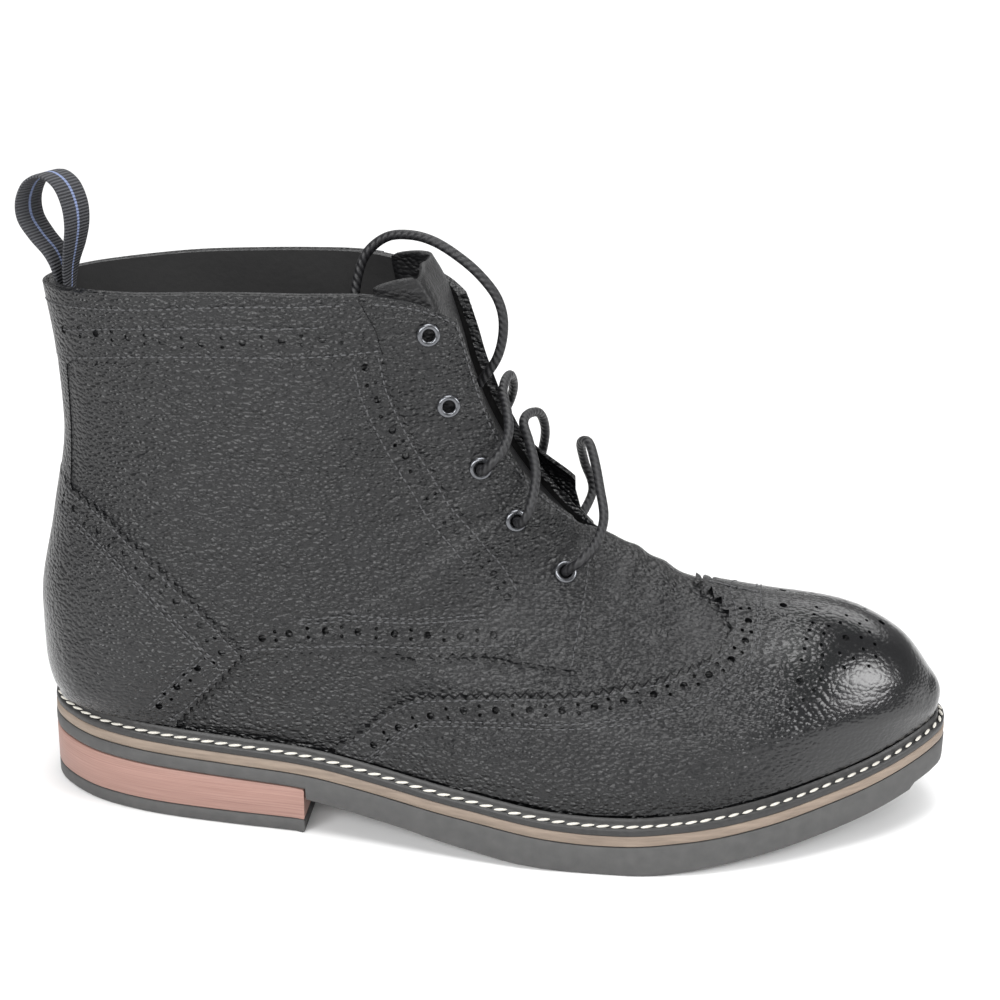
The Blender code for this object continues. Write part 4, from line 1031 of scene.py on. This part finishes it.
LEATHER_BLACK = leather(
    "black_pebbled", (0.0030, 0.0031, 0.0036), (0.0075, 0.0077, 0.0088), 0.33, 0.20, 0.00075
)
TONGUE_BLACK = leather("tongue_soft", (0.003, 0.003, 0.0035), (0.008, 0.008, 0.009), 0.5, 0.5, 0.00030)
LINING = plain("dark_lining", (0.007, 0.007, 0.0075), (0.016, 0.0155, 0.0155), 0.75, 420.0, 0.00012)
THREAD = plain("black_thread", (0.035, 0.036, 0.038), (0.10, 0.10, 0.105), 0.55, 2000.0, 0.0001)
WHITE_THREAD = plain("white_thread", (0.48, 0.46, 0.41), (0.84, 0.81, 0.74), 0.7, 900.0, 0.0001)
RUBBER = plain("sole_rubber", (0.045, 0.045, 0.046), (0.095, 0.094, 0.092), 0.62, 240.0, 0.00015)
STACK = plain(
    "stacked_heel", (0.21, 0.105, 0.085), (0.44, 0.27, 0.225), 0.5, 120.0, 0.00012, 0.0, (0.25, 0.25, 18.0)
)
TAN = plain("tan_edge", (0.12, 0.090, 0.068), (0.36, 0.285, 0.225), 0.6, 200.0, 0.0002, 0.0, (0.4, 0.4, 4.0))
WELT = plain("welt_black", (0.014, 0.014, 0.015), (0.040, 0.039, 0.038), 0.45, 500.0, 0.0002)
GUNMETAL = plain("gunmetal", (0.10, 0.104, 0.112), (0.20, 0.205, 0.22), 0.25, 300.0, 0.00003, 0.95)
CORD = cord_finish()
WEBBING = webbing_finish()


# camera, lights and floor
FOCAL_PX = 2199.6094
EYE = np.array([225.36702, -684.79043, 380.78346]) * MM
YAW, PITCH, ROLL = 0.0988553, 0.37727536, 0.0120491


def set_camera():
    forward = np.array([-np.sin(YAW) * np.cos(PITCH), np.cos(YAW) * np.cos(PITCH), -np.sin(PITCH)])
    right = np.cross(forward, [0, 0, 1])
    right /= np.linalg.norm(right)
    up = np.cross(right, forward)
    c, s = np.cos(ROLL), np.sin(ROLL)
    right, up = c * right + s * up, -s * right + c * up
    data = bpy.data.cameras.new("camera")
    data.sensor_width = 36.0
    data.lens = FOCAL_PX / 1000 * 36.0
    data.sensor_fit = "HORIZONTAL"
    data.clip_start, data.clip_end = 0.01, 50
    camera = bpy.data.objects.new("camera", data)
    bpy.context.scene.collection.objects.link(camera)
    turn = Matrix((right, up, -forward)).transposed().to_4x4()
    camera.matrix_world = Matrix.Translation(Vector(EYE + SHIFT)) @ turn
    bpy.context.scene.camera = camera


def area_light(name, place, target, size, power):
    data = bpy.data.lights.new(name, "AREA")
    data.shape = "RECTANGLE"
    data.size, data.size_y = size
    data.energy = power
    obj = bpy.data.objects.new(name, data)
    obj.location = place
    obj.rotation_euler = (Vector(target) - Vector(place)).to_track_quat("-Z", "Y").to_euler()
    bpy.context.scene.collection.objects.link(obj)


def set_stage():
    mesh = bpy.data.meshes.new("floor")
    mesh.from_pydata([(-6, -6, 0), (6, -6, 0), (6, 6, 0), (-6, 6, 0)], [], [(0, 1, 2, 3)])
    floor = bpy.data.objects.new("floor", mesh)
    bpy.context.scene.collection.objects.link(floor)
    mat, _, shader = blank("pale_floor")
    shader.inputs["Base Color"].default_value = (0.9, 0.9, 0.9, 1)
    shader.inputs["Roughness"].default_value = 0.8
    mesh.materials.append(mat)
    world = bpy.data.worlds.new("studio")
    bpy.context.scene.world = world
    world.use_nodes = True
    world.node_tree.nodes["Background"].inputs["Color"].default_value = (1, 1, 1, 1)
    world.node_tree.nodes["Background"].inputs["Strength"].default_value = 0.30
    bpy.context.scene.view_settings.view_transform = "Standard"
    area_light("above", (0.05, -0.10, 1.10), (0, 0, 0.05), (0.7, 0.5), 7.5)
    area_light("front_left", (-0.75, -0.95, 0.75), (0, 0, 0.08), (0.45, 0.6), 7)
    area_light("toe_side", (1.00, -0.30, 0.55), (0.1, 0, 0.05), (0.4, 0.5), 6)
    area_light("front", (-0.15, -1.55, 0.95), (0, 0, 0.08), (1.3, 0.5), 16)
    area_light("backdrop", (0.0, 2.4, 1.8), (0, 2.6, 0), (4.0, 2.4), 75)


set_camera()
set_stage()


# the sole
def layer(name, xs, levels, mats, sharp=50):
    """A layer of the sole from rings: each level is an inset, a height along x and a rise over it."""
    rings = []
    for inset, height, rise in levels:
        ring = np.concatenate([
            np.stack([xs, sole_y(xs, -1)], 1), np.stack([xs[::-1], sole_y(xs[::-1], 1)], 1),
        ])
        if inset:
            ahead = np.gradient(ring, axis=0)
            ahead /= np.hypot(*ahead.T)[:, None] + 1e-12
            half = len(xs)
            ring = ring + inset * np.stack([-ahead[:, 1], ahead[:, 0]], 1)
            if xs[-1] < SOLE_LENGTH - MM:
                ring[half - 1, 0] = ring[half, 0] = xs[-1] - inset
        rings.append(np.column_stack([ring, height(ring[:, 0]) + rise]))
    n, half = len(rings[0]), len(xs)
    verts = np.vstack(rings)
    faces = []
    for k in range(len(rings) - 1):
        a, b = k * n, (k + 1) * n
        faces += [[a + i, a + (i + 1) % n, b + (i + 1) % n, b + i] for i in range(n)]
    top = (len(rings) - 1) * n
    for i in range(half - 1):
        j = n - 1 - i
        faces.append([i, j, j - 1, i + 1])
        faces.append([top + i, top + i + 1, top + j - 1, top + j])
    obj = make_object(name, verts, faces, sharp)
    return finish_piece(obj, mats, [name])


def marked(xs, marks):
    """Stations with extra ones at the marks."""
    free = [x for x in xs if min(abs(x - m) for m in marks) > 0.0012]
    return np.array(sorted(free + marks))


DENSE = cosine(0, SOLE_LENGTH, 190)


def outsole_bottom(x):
    step = TOE_STEP * (x > TOE_STEP_AT * SOLE_LENGTH)
    return np.where(x < HEEL_LENGTH, seat_z(x) - OUTSOLE_AT_HEEL, under_z(x) + step)


def outsole_top(x):
    return seat_z(x) - LAYER_GAP


def stack_top(x):
    return seat_z(x) - OUTSOLE_AT_HEEL - 2 * LAYER_GAP


def midsole_low(x):
    return seat_z(x) + LAYER_GAP


def midsole_high(x):
    return seat_z(x) + MIDSOLE_THICKNESS - LAYER_GAP


def ground(x):
    return 0 * x


step_x = TOE_STEP_AT * SOLE_LENGTH
out_xs = marked(DENSE, [HEEL_LENGTH - 1e-4, HEEL_LENGTH + 1e-4, step_x - 1e-5, step_x + 3e-4])
heel_xs = np.append(DENSE[DENSE < HEEL_LENGTH - 0.003], HEEL_LENGTH - 0.0006)
layer("outsole", out_xs, [
    (0.0006, outsole_bottom, 0), (0.0001, outsole_bottom, 0.0005), (0.0, outsole_bottom, 0.0012),
    (0.0, outsole_top, -0.0006), (0.0004, outsole_top, 0),
], RUBBER)
layer("heel_stack", heel_xs, [
    (0.0003, ground, LIFT_THICKNESS + LAYER_GAP), (0.0, ground, LIFT_THICKNESS + 0.0005),
    (0.0, stack_top, -0.0004), (0.0003, stack_top, 0),
], STACK)
layer("heel_top_lift", heel_xs, [
    (0.0006, ground, 0), (0.0, ground, 0.0006),
    (0.0, ground, LIFT_THICKNESS - 0.0005), (0.0003, ground, LIFT_THICKNESS - LAYER_GAP),
], RUBBER)
layer("midsole", DENSE, [
    (0.0006, midsole_low, 0), (0.0002, midsole_low, 0.0005),
    (0.0002, midsole_high, -0.0006), (0.0006, midsole_high, 0),
], TAN)


def make_welt():
    """The welt's strip with a raised inner ridge, and its row of slanted stitches."""
    count = 420
    profile = [
        (0.0005, 0.0001), (0.0003, 0.0006), (0.0003, 0.0018), (0.0005, 0.0024), (0.0010, 0.0027),
        (0.0014, 0.0025),
        (0.0019, 0.0025), (0.0023, 0.0028), (0.0025, 0.0040), (0.0028, 0.0049), (0.0032, 0.0053),
        (0.0036, 0.0049),
        (0.0037, 0.0001),
    ]
    rings = [move_in(outline_ring(count), inset) for inset, _ in profile]
    verts, m = [], len(profile)
    for k in range(count):
        for ring, (_, rise) in zip(rings, profile):
            x, y = ring[k]
            verts.append((x, y, float(seat_z(x)) + MIDSOLE_THICKNESS + rise))
    faces = [
        [k * m + j, ((k + 1) % count) * m + j, ((k + 1) % count) * m + (j + 1) % m, k * m + (j + 1) % m]
        for k in range(count) for j in range(m)
    ]
    finish_piece(make_object("welt", verts, faces, 55), WELT, ["welt"])
    ring = move_in(outline_ring(WELT_STITCHES), WELT_GROOVE)
    ahead = np.roll(ring, -1, 0) - np.roll(ring, 1, 0)
    places = []
    for (x, y), (ax, ay) in zip(ring, ahead):
        z = float(seat_z(x)) + MIDSOLE_THICKNESS + WELT_GROOVE_RISE
        tilt = np.radians(WELT_STITCH_SLANT)
        turned = (ax * np.cos(tilt) - ay * np.sin(tilt), ax * np.sin(tilt) + ay * np.cos(tilt))
        slope = (float(seat_z(x + 1e-3)) - float(seat_z(x - 1e-3))) / 2e-3 * turned[0]
        places.append(((x, y, z), (0, 0, 1), (turned[0], turned[1], slope), WELT_STITCH_SIZE))
    finish_piece(repeated("welt_stitches", "stitch", places, 8, WHITE_THREAD), WHITE_THREAD)


make_welt()


# the upper and its panels
def seat_of(number, side, flared=True):
    """Centre and direction of an eyelet on the upper, or on the flared facing."""
    u, tau = (np.array([value]) for value in EYELETS[number - 1])
    point, normal = pick(FACE[side], u, tau)[0], pick(FACE_NORMAL[side], u, tau)[0]
    lift = float(flare_lift(u, tau, side)[0]) if flared else 0.0
    return point + normal * lift, normal


def eyelet_cuts(name, sides, depth, flared):
    """Round cutters at the eyelets of the given sides."""
    holes = []
    for side in sides:
        for number in range(1, len(EYELETS) + 1):
            point, normal = seat_of(number, side, flared)
            holes.append((point, normal, (1, 0, 0.1), (EYELET_CUT, EYELET_CUT, depth)))
    return repeated(name, "cutter", holes, CUT_SIDES)


def make_upper():
    """The upper's wall: leather outside, lining inside, with a hole at each eyelet."""
    data = patch("toe_tip", "collar", step=0.0017, skirt=True)
    obj = slab("upper_leather", data, -WALL, 0.0)
    finish_piece(obj, [LEATHER_BLACK, LINING], ["upper"])
    outer = len(data[1])
    index = np.zeros(len(obj.data.polygons), np.int32)
    index[outer : 2 * outer] = 1
    obj.data.polygons.foreach_set("material_index", index)
    carve(obj, eyelet_cuts("eyelet_cuts", (-1, 1), UPPER_CUT_DEPTH, False), "DIFFERENCE")


def panel(name, data, outline, outer, lift=None):
    """An overlay: a patch cut to its side-view outline."""
    obj = slab(name, data, OVERLAY_GAP, outer, lift)
    carve(obj, prism("outline_" + name, outline), "INTERSECT")
    return obj


both = [(-1, "wing_cap"), (1, "wing_cap")]
punch(WING_HOLES, WING_TOP, both)
for side in (-1, 1):
    for places, radius in ((ROSETTE_BIG, BIG_HOLE), (ROSETTE_SMALL, SMALL_HOLE)):
        u, tau = np.array(places).T
        point, normal = pick(FACE[side], u, tau), pick(FACE_NORMAL[side], u, tau)
        for (p, n, t) in zip(point, normal, tau):
            if t > 0.96 and side > 0:
                continue
            HOLES["wing_cap"].append((p + n * WING_TOP, n, (1, 0, 0.1), (radius, radius, HOLE_DEPTH)))
punch(COUNTER_HOLES, OVER_TOP, [(-1, "heel_counter"), (1, "heel_counter")])
punch(BAND_HOLES, OVER_TOP, [(-1, "collar_band"), (1, "collar_band")])
for side, node in ((-1, "quarter_lateral"), (1, "quarter_medial")):
    punch(QUARTER_HOLES_LOW, QUARTER_TOP, [(side, node)])
    punch(QUARTER_HOLES_FRONT, QUARTER_TOP, [(side, node)])

make_upper()
wing_outline = [*pinked(rounded(WING_EDGE)), *WING_REST]
wing = panel("wing_cap_leather", patch("toe_tip", "waist"), wing_outline, WING_TOP)
finish_piece(cut_holes(wing, "wing_cap"), LEATHER_BLACK, ["wing_cap"])
counter_outline = [*pinked(COUNTER_EDGE), *COUNTER_REST]
counter = panel("heel_counter_leather", patch("waist", "shaft"), counter_outline, OVER_TOP)
finish_piece(cut_holes(counter, "heel_counter"), LEATHER_BLACK, ["heel_counter"])
band = panel("collar_band_leather", patch("ankle", "collar"), [*pinked(BAND_EDGE), *BAND_REST], OVER_TOP)
finish_piece(cut_holes(band, "collar_band"), LEATHER_BLACK, ["collar_band"])
stay = panel("backstay_leather", patch("bulge", "collar", 0.0, 0.45), BACKSTAY_LINE, BACKSTAY_TOP)
finish_piece(stay, LEATHER_BLACK, ["backstay"])
for word, side in (("lateral", -1), ("medial", 1)):
    outline = [*pinked(QUARTER_LOW), *pinked(rounded(QUARTER_FRONT)), *QUARTER_REST]
    quarter = panel("quarter_leather_" + word, patch("instep", "collar", sides=(side,)), outline, QUARTER_TOP)
    finish_piece(cut_holes(quarter, "quarter_" + word), LEATHER_BLACK, ["quarter_" + word])
    facing = panel(
        "facing_leather_" + word, patch("tread", "collar", 0.30, 1.0, sides=(side,)),
        [*FACING_FRONT, *FACING_REST], FACING_TOP,
        lambda rows: flare_lift(rows[:, 0], rows[:, 1], rows[:, 2]),
    )
    carve(facing, eyelet_cuts("facing_cuts_" + word, (side,), FACING_CUT_DEPTH, True), "DIFFERENCE")
    finish_piece(facing, LEATHER_BLACK, ["facing_" + word])

# seams
wing_line, counter_line = rounded(WING_EDGE), np.array(COUNTER_EDGE)
for distance in (-1.6, -8.4, -9.8):
    sew(beside(wing_line[:-12], distance), WING_TOP)
for distance in (1.6, 9.4, 10.8):
    sew(beside(counter_line[:6], -distance)[1:], OVER_TOP)
    sew(beside(counter_line[5:], -distance)[1:], OVER_TOP)
sew_grid(np.full(400, 0.990), np.linspace(0.05, 0.66, 400), OVER_TOP)
sew_grid(np.full(120, 0.990), np.linspace(0.72, 0.96, 120), FACING_TOP)
sew_grid(np.linspace(STATION["throat"] + 0.01, 0.985, 500), np.full(500, 0.965), FACING_TOP, (-1,))
sew_grid(np.linspace(FLARE_SPAN[-1] + 0.02, 0.985, 300), np.full(300, 0.965), FACING_TOP, (1,))
sew(beside(BAND_EDGE, 1.7)[1:], OVER_TOP)
sew(beside(BAND_EDGE, 11.2)[1:-1], OVER_TOP)
sew(beside(QUARTER_LOW[1:], 1.6), QUARTER_TOP)
sew(beside(QUARTER_LOW[1:], 9.6)[1:-1], QUARTER_TOP)
sew(beside(QUARTER_LOW[1:], 11.0)[1:-1], QUARTER_TOP)
sew(beside(QUARTER_FRONT, 1.6), QUARTER_TOP)
sew(beside(QUARTER_FRONT, 9.4)[2:], QUARTER_TOP)
sew(beside(FACING_FRONT[:4], 2.4), FACING_TOP, (-1,))
finish_piece(repeated("seam_stitches", "stitch", STITCHES, STITCH_SIDES, THREAD), THREAD)


# eyelets
def make_eyelets():
    profile = [
        (2.05, -1.5), (2.0, 1.5), (2.1, 1.95), (2.5, 2.25), (3.2, 2.25), (3.7, 1.95), (3.9, 1.3), (2.5, 1.2),
        (2.45, -1.5),
    ]
    count, verts, faces, nodes = 32, [], [], []
    for word, side in (("lateral", -1), ("medial", 1)):
        for number, (u, tau) in enumerate(EYELETS, 1):
            u, tau = np.array([u]), np.array([tau])
            point, normal = pick(FACE[side], u, tau)[0], pick(FACE_NORMAL[side], u, tau)[0]
            point = point + normal * float((flare_lift(u, tau, side) + crease_depth(point[None], side))[0])
            turn = Vector(normal).to_track_quat("Z", "X").to_matrix()
            base, m = len(verts), len(profile)
            for k in range(count):
                angle = 2 * np.pi * k / count
                for radius, height in profile:
                    spot = Vector((radius * np.cos(angle), radius * np.sin(angle), height)) * MM
                    verts.append(tuple(Vector(point) + turn @ spot))
            for k in range(count):
                a, b = base + k * m, base + ((k + 1) % count) * m
                faces += [[a + j, a + (j + 1) % m, b + (j + 1) % m, b + j] for j in range(m)]
            nodes.append("eyelet_%s_%d" % (word, number))
    obj = make_object("eyelet_rings", verts, faces, 50)
    finish_piece(obj, GUNMETAL, nodes)


make_eyelets()


# the tongue
def make_tongue():
    us = np.linspace(STATION["tread"] + 0.02, 1.0, 120)
    taus = np.array([8, 9, 10, 11]) / 11
    rows = []
    for u in us:
        sides = []
        for side in (-1, 1):
            at = np.full(4, u)
            sides.append(pick(FACE[side], at, taus) - pick(FACE_NORMAL[side], at, taus) * TONGUE_DEPTH)
        left, right = sides
        middle = (left[-1] + right[-1]) / 2
        line = np.vstack([left[:-1], middle, right[:-1][::-1]])
        rows.append(rounded(line, 6))
    base = rows[-1]
    half = (len(base) - 1) / 2
    reach = np.array([(1 - abs(k - half) / half) ** 0.8 for k in range(len(base))])[:, None]
    for s in np.linspace(0.12, 1, 9):
        rise = np.array([-0.0085 * s**1.3, 0, 0.0140 * s])
        rows.append(base + rise * reach + np.array([0, 0, rise[2] * 0.12]))
    wide = len(base)
    verts = np.vstack(rows)
    faces = [
        [i * wide + k, i * wide + k + 1, (i + 1) * wide + k + 1, (i + 1) * wide + k]
        for i in range(len(rows) - 1) for k in range(wide - 1)
    ]
    obj = make_object("tongue_leather", verts, faces, None)
    middle = obj.data.polygons[len(obj.data.polygons) // 2]
    if middle.normal.x < 0:
        obj.data.flip_normals()
    mod = obj.modifiers.new("thickness", "SOLIDIFY")
    mod.thickness = TONGUE_THICKNESS
    mod.offset = -1
    finish_piece(obj, TONGUE_BLACK, ["tongue"])


make_tongue()


# laces and loop
def even_curve(points, step):
    """Even points on a smooth curve through the given ones."""
    fine = rounded(points, 14)
    far = np.r_[0, np.cumsum(np.linalg.norm(np.diff(fine, axis=0), axis=1))]
    at = np.linspace(0, far[-1], max(8, int(far[-1] / step)))
    return np.stack([np.interp(at, far, fine[:, k]) for k in range(3)], 1), far[-1]


def tube(name, points, radius, sides=14):
    """A round tube with a UV map that follows it."""
    frames, last = [], None
    for k in range(len(points)):
        ahead = Vector(points[min(k + 1, len(points) - 1)] - points[max(k - 1, 0)]).normalized()
        out = Vector((0, 0, 1)) if last is None else last
        if abs(ahead.dot(out)) > 0.95:
            out = Vector((0, 1, 0))
        out = (out - ahead * ahead.dot(out)).normalized()
        last = out
        frames.append((out, ahead.cross(out)))
    verts = []
    for p, (a, b) in zip(points, frames):
        for s in range(sides):
            angle = 2 * np.pi * s / sides
            verts.append(tuple(Vector(p) + (a * np.cos(angle) + b * np.sin(angle)) * radius))
    n = len(points)
    faces = [
        [k * sides + s, k * sides + (s + 1) % sides, (k + 1) * sides + (s + 1) % sides, (k + 1) * sides + s]
        for k in range(n - 1) for s in range(sides)
    ]
    faces += [list(range(sides))[::-1], [(n - 1) * sides + s for s in range(sides)]]
    obj = make_object(name, verts, faces, 60)
    layer_uv = obj.data.uv_layers.new(name="strand")
    far = np.r_[0, np.cumsum(np.linalg.norm(np.diff(points, axis=0), axis=1))]
    values = []
    for k in range(n - 1):
        for s in range(sides):
            values += [(s * 2 / sides, far[k] * 260), ((s + 1) * 2 / sides, far[k] * 260),
                       ((s + 1) * 2 / sides, far[k + 1] * 260), (s * 2 / sides, far[k + 1] * 260)]
    values += [(0, 0)] * (2 * sides)
    layer_uv.data.foreach_set("uv", np.array(values, np.float32).reshape(-1))
    return obj


for number, middle in LACE_PATHS.items():
    start, out_a = seat_of(number, -1)
    end, out_b = seat_of(number, 1)
    path = [start - out_a * 0.0030, start + out_a * 0.0010, start + out_a * 0.0055]
    path += [np.array(p) * MM for p in middle]
    path += [end + out_b * 0.0055, end + out_b * 0.0010, end - out_b * 0.0030]
    points, _ = even_curve(np.array(path), 0.0011)
    crossing = tube("lace_crossing_%d" % number, points, LACE_RADIUS)
    finish_piece(crossing, CORD, ["lace_bar_%d" % number])
end_points, end_length = even_curve(np.array(LACE_END) * MM, 0.0011)
free_end = finish_piece(tube("lace_free_end", end_points, LACE_RADIUS), CORD, ["lace_end"])


def make_loop():
    """The pull loop's webbing, with a UV map across and along it."""
    spine = rounded([(x, turn, z) for x, z, turn in LOOP_PATH], 9)
    half_w, half_t = WEBBING_WIDTH / 2, WEBBING_THICKNESS / 2
    across_steps = np.linspace(-1, 1, 11)
    section = [(a, -1) for a in across_steps] + [(a, 1) for a in across_steps[::-1]]
    verts, far, last = [], [0.0], None
    for k, (x, turn, z) in enumerate(spine):
        ahead = spine[min(k + 1, len(spine) - 1)] - spine[max(k - 1, 0)]
        angle = np.radians(turn)
        across = np.array([np.sin(angle), np.cos(angle), 0])
        tangent = np.array([ahead[0], 0, ahead[2]])
        face = np.cross(tangent / np.linalg.norm(tangent), across)
        face /= np.linalg.norm(face)
        centre = np.array([x, 0, z]) * MM
        if last is not None:
            far.append(far[-1] + np.linalg.norm(centre - last))
        last = centre
        for a, b in section:
            thin = 1 - 0.5 * abs(a) ** 8
            verts.append(centre + across * a * half_w + face * b * half_t * thin)
    m, n = len(section), len(spine)
    faces = [[k * m + j, k * m + (j + 1) % m, (k + 1) * m + (j + 1) % m, (k + 1) * m + j]
             for k in range(n - 1) for j in range(m)]
    faces += [list(range(m))[::-1], [(n - 1) * m + j for j in range(m)]]
    obj = make_object("pull_loop_webbing", verts, faces, 50)
    layer_uv = obj.data.uv_layers.new(name="strand")
    values = []
    for k in range(n - 1):
        for j in range(m):
            a, b = (section[j][0] + 1) / 2, (section[(j + 1) % m][0] + 1) / 2
            values += [(a, far[k] * 300), (b, far[k] * 300), (b, far[k + 1] * 300), (a, far[k + 1] * 300)]
    values += [(0, 0)] * (2 * m)
    layer_uv.data.foreach_set("uv", np.array(values, np.float32).reshape(-1))
    finish_piece(obj, WEBBING, ["pull_loop"])


make_loop()

# the insole keeps its solid
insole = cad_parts["insole"]
if not insole.material_slots:
    insole.data.materials.append(LINING)
for holder in insole.material_slots:
    holder.material = LINING
